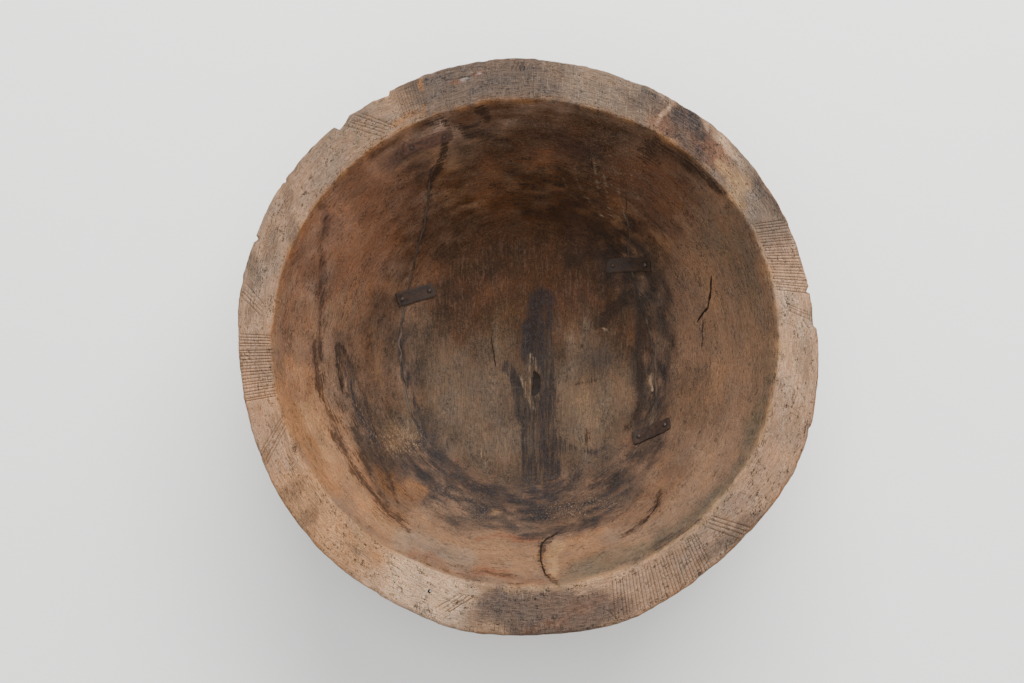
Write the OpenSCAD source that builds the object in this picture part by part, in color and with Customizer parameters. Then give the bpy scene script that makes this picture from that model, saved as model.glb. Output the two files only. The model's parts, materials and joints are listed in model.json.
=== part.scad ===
// Carved wooden bowl with a broad flat rim, mended with iron straps.
// The bowl stands on its base. +Z is up, the origin is the middle of the base,
// and the grain of the wood runs along Y.

/* [Bowl] */
// Diameter over the rim
rim_d = 500; // [380:1:640]
// Height from the base to the top of the rim
bowl_h = 146; // [125:1:175]
// Thickness of the wood under the floor
floor_t = 26; // [20:1:34]
// Diameter of the level part of the floor, and of the flat base under it
floor_d = 209; // [190:1:220]
// Radius of the bend between floor and wall
bend_r = 45; // [30:1:55]
// Slope of the wall where it leaves the bend, in degrees
slope_low = 46; // [40:1:50]
// Slope of the wall at the rim, in degrees
slope_high = 62; // [55:1:70]
// Thickness of the wall at the bottom
wall_t_low = 19; // [16:0.5:22]
// Thickness of the wall at the rim
wall_t_high = 13; // [11:0.5:15]

/* [Rim] */
// Thickness of the rim at its outer edge
lip_t = 15; // [12:0.5:18]
// Depth of the worn bevel along both edges of the rim
edge_wear = 1.2; // [0.6:0.1:2]

/* [Carving] */
// Width of a knife cut at the surface
cut_w = 1.1; // [0.6:0.1:1.6]
// Radius where the radial cuts start
cut_r_in = 218; // [214:1:224]
// Radius where the radial cuts end
cut_r_out = 248.5; // [242:0.5:249]
// Angle between two radial cuts, in degrees
cut_pitch = 0.66; // [0.5:0.02:1]

/* [Hanging hole] */
// Diameter of the hole through the rim
hang_d = 3.4; // [2:0.1:6]
// Distance of the hole from the middle of the bowl
hang_r = 229.3; // [226:0.1:234]
// Position of the hole around the rim, in degrees
hang_az = -111; // [-114:1:-109]

/* [Repair straps] */
// Thickness of the iron strip
strap_t = 1.4; // [1:0.1:2]
// Width of the strip
strap_w = 13; // [10:0.5:16]
// Gap between neighbouring pieces
fit_gap = 0.05; // [0.05:0.05:0.2]

/* [Nails] */
// Diameter of a nail's shank
nail_d = 1.8; // [1.4:0.1:2.2]
// Diameter of a nail's head
nail_head_d = 4.2; // [3:0.1:5]
// Height of a nail's domed head
nail_head_h = 1.2; // [0.8:0.1:1.8]
// Length of a nail under its head
nail_len = 11; // [8:0.5:12]

/* [Cracks] */
// Width of the two long cracks that are filled with pitch
pitch_w = 3.2; // [2:0.2:5]
// Depth of the pitch in the wood
pitch_depth = 3; // [2:0.5:6]
// Width of the open cracks
crack_w = 1.2; // [0.8:0.1:2]
// Depth of the open cracks
crack_depth = 2.5; // [1:0.5:5]

/* [Hidden] */
$fn = 96;

wood = [0.42, 0.27, 0.17];
rust = [0.23, 0.15, 0.11];
nail_iron = [0.33, 0.27, 0.23];
pitch = [0.14, 0.14, 0.15];

rim_r = rim_d / 2;
floor_r = floor_d / 2;
floor_z = floor_t;
wall_foot_r = floor_r + bend_r * sin(slope_low);
wall_foot_z = floor_z + bend_r * (1 - cos(slope_low));
wall_arc_r = (bowl_h - wall_foot_z) / (cos(slope_low) - cos(slope_high));
bend_len = bend_r * slope_low * PI / 180;
wall_len = wall_arc_r * (slope_high - slope_low) * PI / 180;
mouth_s = floor_r + bend_len + wall_len;
mouth_r = wall_foot_r + wall_arc_r * (sin(slope_high) - sin(slope_low));
lip_z = bowl_h - lip_t;
bend_steps = 8;
wall_steps = 10;

// A strap is [angle round the bowl, distance up the inside, turn, length, nail spacing].
// The distance is measured along the surface from the middle of the floor, and
// the turn is 0 for a strap that runs clockwise round the bowl and 90 for one that runs up the wall.
upper_left = [116, 245, -8, 46, 31];
left = [150, 119, -42, 37, 27];
right = [42, 131, 49, 43, 32];
lower_right = [-31.5, 139, 135, 40, 28];

// Each crack is a line in plan that mostly follows the grain.
left_crack = [
    [-73, 176], [-87, 157], [-91, 128], [-102, 90], [-111, 53],
    [-117, 16], [-114, -21], [-105, -54], [-88, -82]
];
right_crack = [
    [90, 146], [93, 112], [96, 86], [107, 53],
    [119, 6], [119, -40], [112, -70], [86, -108]
];
floor_crack = [[-31, 7], [-28, -8], [-27, -27]];
wall_crack = [[165, 51], [163, 30], [157, 8]];
foot_crack = [[31, -158], [19, -168], [16, -182], [27, -201]];

// Slope of the inside at a distance s along it.
function slope_at(s) =
    s <= floor_r ? 0
    : s <= floor_r + bend_len ? (s - floor_r) / bend_r * 180 / PI
    : slope_low + (s - floor_r - bend_len) / wall_arc_r * 180 / PI;

// Point [r, z] of the inside at a distance s along it, lifted off the surface by lift.
function inside_at(s, lift = 0) =
    let (a = slope_at(s))
    (s <= floor_r ? [s, floor_z]
    : s <= floor_r + bend_len
        ? [floor_r + bend_r * sin(a), floor_z + bend_r * (1 - cos(a))]
    : [wall_foot_r + wall_arc_r * (sin(a) - sin(slope_low)),
       wall_foot_z + wall_arc_r * (cos(slope_low) - cos(a))])
    + lift * [-sin(a), cos(a)];

// Distances along the inside where its outline has a corner.
stations = concat(
    [for (i = [0 : bend_steps]) floor_r + bend_len * i / bend_steps],
    [for (i = [1 : wall_steps]) floor_r + bend_len + wall_len * i / wall_steps]
);

// The wood is floor_t thick at the edge of the floor and grows thinner up to the rim.
function wood_t_at(s) =
    s < floor_r + bend_len
        ? floor_t + (wall_t_low - floor_t) * (s - floor_r) / bend_len
        : wall_t_low + (wall_t_high - wall_t_low) * (s - floor_r - bend_len) / wall_len;

outside_wall = [
    for (s = stations)
        let (p = inside_at(s, -wood_t_at(s)))
        if (p[1] < lip_z - 6) p
];
under_lip_r = outside_wall[len(outside_wall) - 1][0];

module bowl_section() {
    polygon(concat(
        [[0, floor_z]],
        [for (s = stations) if (s < mouth_s - 1) inside_at(s)],
        [
            inside_at(mouth_s - edge_wear * 1.2),
            [mouth_r + edge_wear, bowl_h],
            [rim_r - edge_wear, bowl_h],
            [rim_r, bowl_h - edge_wear],
            [rim_r, lip_z + edge_wear],
            [rim_r - edge_wear, lip_z],
            [under_lip_r + 7, lip_z]
        ],
        [for (i = [len(outside_wall) - 1 : -1 : 0]) outside_wall[i]],
        [[0, 0]]
    ));
}

// Solid between two heights over the inside surface.
module inside_shell(low, high) {
    rotate_extrude()
        polygon(concat(
            [[0, floor_z + low]],
            [for (s = stations) inside_at(s, low)],
            [for (i = [len(stations) - 1 : -1 : 0]) inside_at(stations[i], high)],
            [[0, floor_z + high]]
        ));
}

// Puts its children on the inside surface, with their +Z along the surface's normal.
module on_inside(az, s) {
    p = inside_at(s);
    rotate([0, 0, az])
        translate([p[0], 0, p[1]])
            rotate([0, -slope_at(s), 0])
                children();
}

// Places its children at both nail positions of a strap; which = -1 or 1.
module at_nail(strap, which) {
    u = which * strap[4] / 2;
    r = inside_at(strap[1])[0];
    around = -u * cos(strap[2]) / r * 180 / PI;
    along = u * sin(strap[2]);
    on_inside(strap[0] + around, strap[1] + along)
        children();
}

module iron_strap(strap) {
    color(rust)
        difference() {
            intersection() {
                inside_shell(fit_gap, fit_gap + strap_t);
                on_inside(strap[0], strap[1])
                    rotate([0, 0, strap[2] - 90])
                        cube([strap[3], strap_w, 40], center = true);
            }
            for (which = [-1, 1])
                at_nail(strap, which)
                    cylinder(d = nail_d + 2 * fit_gap, h = 12, center = true);
        }
}

module nail(strap, which) {
    top = strap_t + 3 * fit_gap;
    dome_r = (pow(nail_head_d / 2, 2) + pow(nail_head_h, 2)) / (2 * nail_head_h);
    color(nail_iron)
        at_nail(strap, which) {
            translate([0, 0, top])
                intersection() {
                    translate([0, 0, nail_head_h - dome_r])
                        sphere(r = dome_r);
                    cylinder(d = nail_head_d + 1, h = nail_head_h + 1);
                }
            translate([0, 0, top - nail_len])
                cylinder(d = nail_d, h = nail_len + 0.2);
        }
}

// Direction of a path at its point i, as a unit vector.
function run_at(path, i) =
    let (run = path[min(i + 1, len(path) - 1)] - path[max(i - 1, 0)])
    run / norm(run);

// Half the width of a crack at point i: it narrows to a third at both ends.
function half_width(path, i, width) =
    width / 2 * (i == 0 || i == len(path) - 1 ? 1 / 3 : 1);

// Point beside point i of a path; side = -1 or 1.
function beside(path, i, width, side) =
    let (run = run_at(path, i))
    path[i] + side * half_width(path, i, width) * [-run[1], run[0]];

// Outline of a crack along a path.
module stroke(path, width) {
    last = len(path) - 1;
    polygon(concat(
        [for (i = [0 : last]) beside(path, i, width, -1)],
        [for (i = [last : -1 : 0]) beside(path, i, width, 1)]
    ));
}

module crack_void(path, width, depth) {
    intersection() {
        linear_extrude(height = bowl_h + 10)
            stroke(path, width);
        inside_shell(-depth, 3);
    }
}

module pitch_seam(path) {
    color(pitch)
        intersection() {
            linear_extrude(height = bowl_h + 10)
                stroke(path, pitch_w - 2 * fit_gap);
            inside_shell(fit_gap - pitch_depth, -fit_gap);
        }
}

// One straight V-shaped knife cut on the rim between two points [radius, angle].
module knife_cut(from, to, width = cut_w) {
    a = from[0] * [cos(from[1]), sin(from[1])];
    b = to[0] * [cos(to[1]), sin(to[1])];
    run = b - a;
    translate([a[0], a[1], bowl_h])
        rotate([0, 0, atan2(run[1], run[0])])
            translate([0, 0, -width / 2])
                rotate([45, 0, 0])
                    cube([norm(run), width, width]);
}

// A row of equal cuts, each turned by step degrees from the one before it.
module cut_row(count, from, to, step, width = cut_w) {
    for (i = [0 : count - 1])
        knife_cut(from + [0, i * step], to + [0, i * step], width);
}

module rim_carving() {
    // left band with slanting cuts above and below it
    cut_row(22, [cut_r_in, 179], [cut_r_out, 179], cut_pitch);
    cut_row(4, [228, 172.5], [cut_r_out, 168.6], 0.9);
    cut_row(4, [cut_r_in, 197.2], [247, 203.6], 0.9);
    // upper left band and its slanting cuts
    cut_row(9, [cut_r_in + 6, 113.5], [cut_r_out, 112.6], 0.6, cut_w * 0.7);
    cut_row(4, [cut_r_in + 2, 121.5], [cut_r_out, 126.5], 1);
    // three short cuts at the top
    cut_row(3, [237.4, 91.4], [cut_r_out, 90], 1);
    // right band with slanting cuts below it
    cut_row(25, [cut_r_in, 11.5], [cut_r_out - 2, 9.4], cut_pitch);
    cut_row(3, [224.5, 7], [243, 4.2], 0.9);
    // lower right band, its slanting cuts and one single cut
    cut_row(30, [cut_r_in - 1, -71.4], [cut_r_out - 1, -73.4], 0.75);
    cut_row(4, [cut_r_in, -47], [cut_r_out, -43.4], 0.9);
    knife_cut([237.6, -75], [cut_r_out, -73.8]);
    // short cuts at the bottom and their slanting cuts
    cut_row(12, [243, -96.5], [cut_r_out, -96.5], 1.15, cut_w * 0.7);
    cut_row(4, [225, -101.7], [242, -105.8], -0.9);
}

// V-shaped chip out of the rim's outer edge, deepest at the top.
module edge_chip(az, depth, size) {
    rotate([0, 0, az])
        translate([rim_r - depth, 0, bowl_h])
            rotate([0, -24, 0])
                rotate([0, 0, -45])
                    translate([0, 0, -lip_t - 10])
                        cube([size, size, lip_t + 16]);
}

module edge_chips() {
    edge_chip(131.6, 5, 14);
    edge_chip(118.6, 3.5, 12);
    edge_chip(158.8, 3, 9);
    edge_chip(146.5, 2.2, 8);
    edge_chip(9.9, 2.8, 9);
    edge_chip(-17.9, 2.5, 9);
}

// Oval knot hole in the floor and a round one high on the wall.
module knot_holes() {
    translate([8.5, -26, floor_z - 8]) {
        for (y = [-5, 5])
            translate([0, y, 0])
                cylinder(d = 9, h = 12);
        translate([-4.5, -5, 0])
            cube([9, 10, 12]);
    }
    on_inside(147, 262)
        translate([0, 0, -6])
            cylinder(d = 6, h = 12);
}

module bowl() {
    color(wood)
        difference() {
            rotate_extrude()
                bowl_section();
            rim_carving();
            edge_chips();
            knot_holes();
            crack_void(left_crack, pitch_w, pitch_depth);
            crack_void(right_crack, pitch_w, pitch_depth);
            crack_void(floor_crack, crack_w, crack_depth);
            crack_void(wall_crack, crack_w, crack_depth);
            crack_void(foot_crack, crack_w, crack_depth);
            rotate([0, 0, hang_az])
                translate([hang_r, 0, lip_z - 5])
                    cylinder(d = hang_d, h = lip_t + 10);
            for (strap = [upper_left, left, right, lower_right], which = [-1, 1])
                at_nail(strap, which)
                    translate([0, 0, strap_t + 3 * fit_gap - nail_len - 0.2])
                        cylinder(d = nail_d + 2 * fit_gap, h = nail_len + 4);
        }
}

bowl();
iron_strap(upper_left);  // strap_upper_left
iron_strap(left);  // strap_left
iron_strap(right);  // strap_right
iron_strap(lower_right);  // strap_lower_right
nail(upper_left, -1);  // nail_upper_left_a
nail(upper_left, 1);  // nail_upper_left_b
nail(left, -1);  // nail_left_a
nail(left, 1);  // nail_left_b
nail(right, -1);  // nail_right_a
nail(right, 1);  // nail_right_b
nail(lower_right, -1);  // nail_lower_right_a
nail(lower_right, 1);  // nail_lower_right_b
pitch_seam(left_crack);  // pitch_left_crack
pitch_seam(right_crack);  // pitch_right_crack
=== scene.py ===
"""Looks of the carved wooden bowl: the worn wood, its knife cuts and cracks, and the iron repairs.

All shapes are worked out in millimetres in the part's own frame and scaled to metres when a mesh
is made. The surface of the bowl is described by t, the distance along its section from the middle
of the floor, over the rim, to the middle of the base, and by phi, the angle round its axis.
"""

import json
import math

import bpy
import numpy as np
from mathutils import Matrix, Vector
from mathutils.geometry import delaunay_2d_cdt
from mathutils.kdtree import KDTree


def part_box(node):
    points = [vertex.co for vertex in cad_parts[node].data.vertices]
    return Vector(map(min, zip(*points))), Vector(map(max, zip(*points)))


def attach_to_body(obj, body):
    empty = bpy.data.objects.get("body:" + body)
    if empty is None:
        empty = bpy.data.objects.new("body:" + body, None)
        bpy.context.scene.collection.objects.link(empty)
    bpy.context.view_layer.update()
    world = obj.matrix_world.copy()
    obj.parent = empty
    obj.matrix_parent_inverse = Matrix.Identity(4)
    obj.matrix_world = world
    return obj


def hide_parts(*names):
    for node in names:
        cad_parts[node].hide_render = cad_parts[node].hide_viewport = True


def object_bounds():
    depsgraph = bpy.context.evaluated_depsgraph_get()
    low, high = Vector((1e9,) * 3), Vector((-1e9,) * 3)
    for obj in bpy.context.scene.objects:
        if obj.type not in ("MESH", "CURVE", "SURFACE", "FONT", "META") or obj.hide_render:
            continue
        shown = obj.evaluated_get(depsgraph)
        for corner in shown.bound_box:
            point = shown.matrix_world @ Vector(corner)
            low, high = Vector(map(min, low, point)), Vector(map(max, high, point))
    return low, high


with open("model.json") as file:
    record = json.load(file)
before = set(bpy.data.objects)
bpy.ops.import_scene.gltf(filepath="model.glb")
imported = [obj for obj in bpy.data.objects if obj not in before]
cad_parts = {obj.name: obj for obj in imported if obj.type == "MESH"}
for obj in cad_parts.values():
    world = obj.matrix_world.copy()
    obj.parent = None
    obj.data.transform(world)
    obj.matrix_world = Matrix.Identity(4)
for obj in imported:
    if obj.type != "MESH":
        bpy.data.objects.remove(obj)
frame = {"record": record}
cad_low, cad_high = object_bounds()
MM = 0.001

# ---------------------------------------------------------------- helpers


def deg(angle):
    return np.radians(angle)


def smooth(x, low, high):
    """0 below low, 1 above high, with a soft step between."""
    f = np.clip((x - low) / (high - low), 0, 1)
    return f * f * (3 - 2 * f)


def turn_between(a, b):
    """Smallest signed angle from b to a, in degrees, for arrays of degrees."""
    return (np.asarray(a) - b + 180) % 360 - 180


def hashed(ix, iy, iz, seed):
    """A repeatable number from 0 to 1 for each whole-numbered place."""
    n = (ix * 73856093) ^ (iy * 19349663) ^ (iz * 83492791) ^ (seed * 2654435)
    n = ((n ^ (n >> 13)) & 0xFFFFFF) * 1274126177
    return ((n >> 16) & 0xFFFF) / 65535.0


def value_noise(x, y, z=0.0, seed=0):
    """Smooth noise from -1 to 1 with features about one unit across."""
    x, y, z = np.broadcast_arrays(np.asarray(x, float), y, z)
    cell = [np.floor(a).astype(np.int64) for a in (x, y, z)]
    part = [a - c for a, c in zip((x, y, z), cell)]
    ease = [p * p * (3 - 2 * p) for p in part]
    total = 0
    for dx in (0, 1):
        for dy in (0, 1):
            for dz in (0, 1):
                weight = 1
                for step, e in zip((dx, dy, dz), ease):
                    weight = weight * (e if step else 1 - e)
                total = total + weight * hashed(
                    cell[0] + dx, cell[1] + dy, cell[2] + dz, seed
                )
    return total * 2 - 1


def layered_noise(x, y, z=0.0, layers=3, seed=0):
    return sum(
        value_noise(x * 2**i, y * 2**i, z * 2**i, seed + i * 17) * 0.5**i
        for i in range(layers)
    )


# ---------------------------------------------------------------- section of the bowl

H = cad_high.z / MM
RIM_R = (cad_high.x - cad_low.x) / 2 / MM
# The level floor, the bend round it, and the slope of the wall at its foot and at the mouth.
FLOOR_R, FLOOR_Z = 104.5, 26.0
BEND_R = 45.0
SLOPE_LOW, SLOPE_HIGH = 46.0, 62.0
# Thickness of the rim, and of the wall at its foot and at the mouth.
LIP = 15.0
WALL_LOW, WALL_HIGH = 19.0, 13.0
# Size of the hollow corner between the rim's underside and the wall.
CORNER = 7
# Spacing of the points that describe the section.
T_STEP = 0.5


def inside_curve():
    """[r, z, slope] along the inside of the bowl, from the middle of the floor to the mouth."""
    bend = deg(np.linspace(0, SLOPE_LOW, 30))
    wall = deg(np.linspace(SLOPE_LOW, SLOPE_HIGH, 60))
    foot_r = FLOOR_R + BEND_R * math.sin(deg(SLOPE_LOW))
    foot_z = FLOOR_Z + BEND_R * (1 - math.cos(deg(SLOPE_LOW)))
    arc = (H - foot_z) / (math.cos(deg(SLOPE_LOW)) - math.cos(deg(SLOPE_HIGH)))
    r = np.r_[
        0, FLOOR_R + BEND_R * np.sin(bend), foot_r + arc * (np.sin(wall[1:]) - np.sin(wall[0])),
    ]
    rise = np.cos(wall[0]) - np.cos(wall[1:])
    z = np.r_[FLOOR_Z, FLOOR_Z + BEND_R * (1 - np.cos(bend)), foot_z + arc * rise]
    return np.c_[r, z, np.r_[0, bend, wall[1:]]]


def whole_section():
    """The section from the middle of the floor to that of the base: t, r, z, and t at the mouth.

    Its edges are rounded by wear.
    """
    inner = inside_curve()
    part = np.linspace(0, 1, len(inner))
    thick = np.interp(inner[:, 2], deg([0, SLOPE_LOW, SLOPE_HIGH]), [FLOOR_Z, WALL_LOW, WALL_HIGH])
    outer = inner[:, :2] + np.c_[thick * np.sin(inner[:, 2]), -thick * np.cos(inner[:, 2])]
    outer = outer[(outer[:, 1] < H - LIP - CORNER) & (part > 0)]
    lip = [(RIM_R, H), (RIM_R, H - LIP), (outer[-1, 0] + CORNER, H - LIP)]
    corners = np.vstack([inner[:, :2], lip, outer[::-1], [(0, 0)]])
    run = np.r_[0, np.cumsum(np.hypot(*np.diff(corners, axis=0).T))]
    t = np.arange(0, run[-1], T_STEP)
    mouth_t = run[len(inner) - 1]
    fine = np.c_[np.interp(t, run, corners[:, 0]), np.interp(t, run, corners[:, 1])]
    worn = fine.copy()
    # Half width of the smoothing in points, and the t from which it counts.
    for width, start in ((5, 1), (9, mouth_t + 12), (15, mouth_t + 60)):
        kernel = np.hanning(2 * width + 1)
        kernel /= kernel.sum()
        padded = np.vstack([np.repeat(fine[:1], width, 0), fine, np.repeat(fine[-1:], width, 0)])
        soft = np.c_[
            np.convolve(padded[:, 0], kernel, "valid"), np.convolve(padded[:, 1], kernel, "valid"),
        ]
        worn[t > start] = soft[t > start]
    return t, worn[:, 0], worn[:, 1], mouth_t


T, SECTION_R, SECTION_Z, MOUTH_T = whole_section()
MOUTH_R = float(np.interp(MOUTH_T, T, SECTION_R))
RIM_W = RIM_R - MOUTH_R
EDGE_T = MOUTH_T + RIM_W
SPLIT_T = EDGE_T + LIP
END_T = float(T[-1])
slope_r, slope_z = np.gradient(SECTION_R, T), np.gradient(SECTION_Z, T)
slope_len = np.hypot(slope_r, slope_z)
NORMAL_R, NORMAL_Z = -slope_z / slope_len, slope_r / slope_len

# ---------------------------------------------------------------- the hand-made outline

# Slow swells of the rim's outer edge: [angle, half width in degrees, height in mm].
SWELLS = [
    (145, 26, 3.0), (193, 16, -2.6), (257, 13, 3.2), (288, 11, 3.0), (338, 18, 4.2),
    (15, 22, -2.4), (72, 16, -2.8), (100, 10, 1.0), (225, 12, 1.0), (312, 12, -1.0),
]
# Broken edge: [angle, degrees to its left side, degrees to its right side, depth in mm].
BREAKS = [
    (131.4, 0.5, 3.2, 5.5), (119.3, 3.2, 0.6, 4.2), (159.2, 1.0, 0.4, 3.2), (146.5, 0.6, 0.5, 2.2),
    (9.8, 0.9, 0.5, 3.4), (2.8, 4.5, 0.5, 2.4), (-17.6, 0.5, 1.4, 1.7), (-42, 1.2, 1.4, 0.8),
    (98.5, 1.0, 2.2, 0.8), (203, 1.6, 1.1, 0.9), (239, 1.1, 1.7, 0.7), (57, 0.8, 1.5, 0.8),
]


def outer_shift(phi):
    """How far the rim's outer edge lies outside its mean circle, in mm; phi in degrees."""
    out = sum(h * np.exp(-((turn_between(phi, a) / w) ** 2)) for a, w, h in SWELLS)
    round_x, round_y = np.cos(deg(phi)), np.sin(deg(phi))
    out = out + 0.55 * layered_noise(round_x * 9, round_y * 9, seed=3)
    return out + 0.22 * layered_noise(round_x * 45, round_y * 45, seed=4)


def break_shift(phi):
    """How far pieces broken out of the rim's edge reach inwards, as a negative shift in mm."""
    out = 0
    for a, left, right, depth in BREAKS:
        off = turn_between(phi, a)
        side = np.where(off > 0, off / left, -off / right)
        out = out - depth * np.clip(1 - side, 0, 1) ** 0.8
    return out


def mouth_shift(phi):
    """How far the mouth's edge lies outside its mean circle: it's wider across the grain."""
    a = deg(phi)
    out = 0.2 + 3.4 * np.cos(2 * a) - 1.2 * np.cos(a) + 1.0 * np.sin(a)
    out = out + 0.9 * layered_noise(np.cos(a) * 7, np.sin(a) * 7, seed=8)
    return out + 0.3 * layered_noise(np.cos(a) * 34, np.sin(a) * 34, seed=9)


def radial_shift(t, phi):
    mouth_part = np.interp(t, [FLOOR_R, MOUTH_T, EDGE_T], [0, 1, 0])
    edge_part = np.interp(
        t, [MOUTH_T, EDGE_T, SPLIT_T, SPLIT_T + 28, SPLIT_T + 120], [0, 1, 1, 0.2, 0],
    )
    break_part = np.interp(t, [MOUTH_T, EDGE_T, SPLIT_T, SPLIT_T + 20], [0, 1, 0.3, 0])
    return (
        mouth_part * mouth_shift(phi) + edge_part * outer_shift(phi)
        + break_part * break_shift(phi)
    )


def rim_wave(t, phi):
    """The rim isn't quite level."""
    a = deg(phi)
    part = np.interp(t, [MOUTH_T - 60, MOUTH_T, EDGE_T, SPLIT_T + 25], [0, 1, 1, 0])
    wave = 0.5 * np.sin(2 * a + 0.8) + 0.35 * np.sin(5 * a)
    return part * (wave + 0.3 * value_noise(np.cos(a) * 5, np.sin(a) * 5, seed=5))


def place(t, phi, lift=0.0):
    """Point [x, y, z] on the bowl at t and phi, moved off the surface by lift."""
    r = np.interp(t, T, SECTION_R) + radial_shift(t, phi) + lift * np.interp(t, T, NORMAL_R)
    z = np.interp(t, T, SECTION_Z) + rim_wave(t, phi) + lift * np.interp(t, T, NORMAL_Z)
    a = deg(phi)
    return np.stack([r * np.cos(a), r * np.sin(a), z], -1)


def under(x, y):
    """t and phi of the inside or the rim straight below a point seen from above."""
    phi, r = np.degrees(np.arctan2(y, x)), np.hypot(x, y)
    mouth, edge = MOUTH_R + mouth_shift(phi), RIM_R + outer_shift(phi) + break_shift(phi)
    on_rim = MOUTH_T + (r - mouth) / (edge - mouth) * RIM_W
    inside = T <= MOUTH_T
    guess = r
    for _ in range(6):
        t = np.interp(guess, SECTION_R[inside], T[inside])
        guess = r - radial_shift(t, phi)
    return np.where(r > mouth, on_rim, t), phi


# ---------------------------------------------------------------- cuts, cracks and wear

# How far beside a line's middle the mesh needs points, in widths of the line.
ROW_OFFSETS = {"cut": (0, 0.5), "crack": (0, 0.34, 0.52, 0.85), "mark": (0, 0.5, 1.0)}


class Line:
    """A cut, crack or mark that runs over the bowl, as seen from above."""

    def __init__(
        self, points, width, depth, kind="crack",
        wander=0.0, step=1.0, ends=0.25, seed=0, black=1.0,
    ):
        points = np.array(points, float)
        run = np.r_[0, np.cumsum(np.hypot(*np.diff(points, axis=0).T))]
        count = max(int(run[-1] / step), 2)
        s = np.linspace(0, run[-1], count + 1)
        self.xy = np.c_[np.interp(s, run, points[:, 0]), np.interp(s, run, points[:, 1])]
        if kind != "cut" and len(points) > 2:
            for _ in range(int(6 / step)):
                self.xy[1:-1] = (self.xy[:-2] + 2 * self.xy[1:-1] + self.xy[2:]) / 4
        along = np.gradient(self.xy, axis=0)
        along /= np.maximum(np.hypot(*along.T), 1e-9)[:, None]
        self.side = np.c_[-along[:, 1], along[:, 0]]
        wave = layered_noise(s / 9, seed * 7.3, layers=3, seed=seed)
        self.xy += self.side * (wander * wave)[:, None]
        f = s / run[-1]
        self.fade = (
            np.minimum(smooth(f, 0, ends), smooth(1 - f, 0, ends)) if ends else np.ones_like(f)
        )
        uneven = 1 if kind == "cut" else 1 + 0.45 * value_noise(s / 5, seed * 3.1, seed=seed + 5)
        self.width = width * (0.3 + 0.7 * self.fade) * uneven
        self.depth = depth * self.fade
        self.kind = kind
        self.black = black

    def rows(self):
        """Rows of points for the mesh, along the line's middle and beside it."""
        for off in ROW_OFFSETS[self.kind]:
            for sign in (-1, 1) if off else (1,):
                yield self.xy + self.side * (sign * off * self.width)[:, None]

    def near(self, xy, reach):
        """Distance to the line and the width and depth there, for the points within reach of it."""
        low, high = self.xy.min(0) - reach, self.xy.max(0) + reach
        idx = np.nonzero(((xy > low) & (xy < high)).all(1))[0]
        p = xy[idx]
        best = np.full(len(idx), 1e9)
        width, depth = np.zeros(len(idx)), np.zeros(len(idx))
        for i in range(len(self.xy) - 1):
            a, ab = self.xy[i], self.xy[i + 1] - self.xy[i]
            f = np.clip(((p - a) @ ab) / max(ab @ ab, 1e-9), 0, 1)
            d = np.hypot(*(p - a - f[:, None] * ab).T)
            closer = d < best
            best = np.where(closer, d, best)
            width = np.where(closer, self.width[i] + f * (self.width[i + 1] - self.width[i]), width)
            depth = np.where(closer, self.depth[i] + f * (self.depth[i + 1] - self.depth[i]), depth)
        return idx, best, width, depth


def polar(r, az):
    return (r * math.cos(deg(az)), r * math.sin(deg(az)))


def cut_row(count, start, end, step, width, depth, seed, spread=0.12):
    """A row of straight knife cuts on the rim from [r, angle] to [r, angle], each made by hand."""
    rng = np.random.default_rng(seed)
    lines = []
    for i in range(count):
        slip = rng.normal(0, spread, 2) * abs(step)
        a = polar(start[0] + rng.normal(0, 0.7), start[1] + i * step + slip[0])
        b = polar(end[0] + rng.normal(0, 0.7), end[1] + i * step + slip[1])
        wide, deep = width * rng.uniform(0.85, 1.15), depth * rng.uniform(0.7, 1.15)
        lines.append(Line([a, b], wide, deep, "cut", step=0.9, ends=0.08))
    return lines


# Radii at which most cuts start and end.
CUT_IN, CUT_OUT = MOUTH_R + 4, RIM_R - 1.5
cuts = [
    # left band and the slanting cuts above and below it
    *cut_row(22, (CUT_IN, 179.2), (CUT_OUT, 178.9), 0.655, 1.25, 0.65, 1),
    *cut_row(4, (228, 172.5), (CUT_OUT + 1, 168.6), 0.9, 1.2, 0.55, 2),
    *cut_row(4, (CUT_IN, 197.2), (247, 203.4), 0.95, 1.4, 0.7, 3),
    # upper left: a faint band and its slanting cuts
    *cut_row(9, (CUT_IN + 5, 113.4), (CUT_OUT, 112.6), 0.62, 1.0, 0.3, 4),
    *cut_row(5, (CUT_IN + 1, 121.3), (CUT_OUT + 1, 126.6), 0.95, 1.3, 0.65, 5),
    # three short cuts at the top
    *cut_row(3, (237.4, 91.5), (CUT_OUT, 90.1), 1.0, 1.3, 0.65, 6),
    # right band and the slanting cuts below it
    *cut_row(25, (CUT_IN, 11.4), (CUT_OUT - 1, 9.2), 0.66, 1.25, 0.65, 7),
    *cut_row(3, (224.5, 8.3), (243, 5.6), -0.9, 1.2, 0.5, 8),
    # lower right band, the slanting cuts beside it and a single one
    *cut_row(29, (CUT_IN - 2, -70.6), (CUT_OUT + 1, -72.8), 0.77, 1.25, 0.6, 9),
    *cut_row(4, (CUT_IN - 1, -47), (CUT_OUT + 2, -43.2), 0.95, 1.3, 0.6, 10),
    *cut_row(1, (237.6, -74), (CUT_OUT, -72.6), 1, 1.2, 0.5, 11),
    # short cuts at the bottom and the slanting cuts beside them
    *cut_row(13, (241, -96.5), (CUT_OUT + 1, -96.6), 1.08, 1.0, 0.35, 12),
    *cut_row(4, (CUT_IN + 4, -101.7), (242, -105.8), -0.95, 1.4, 0.75, 13),
]

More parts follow.
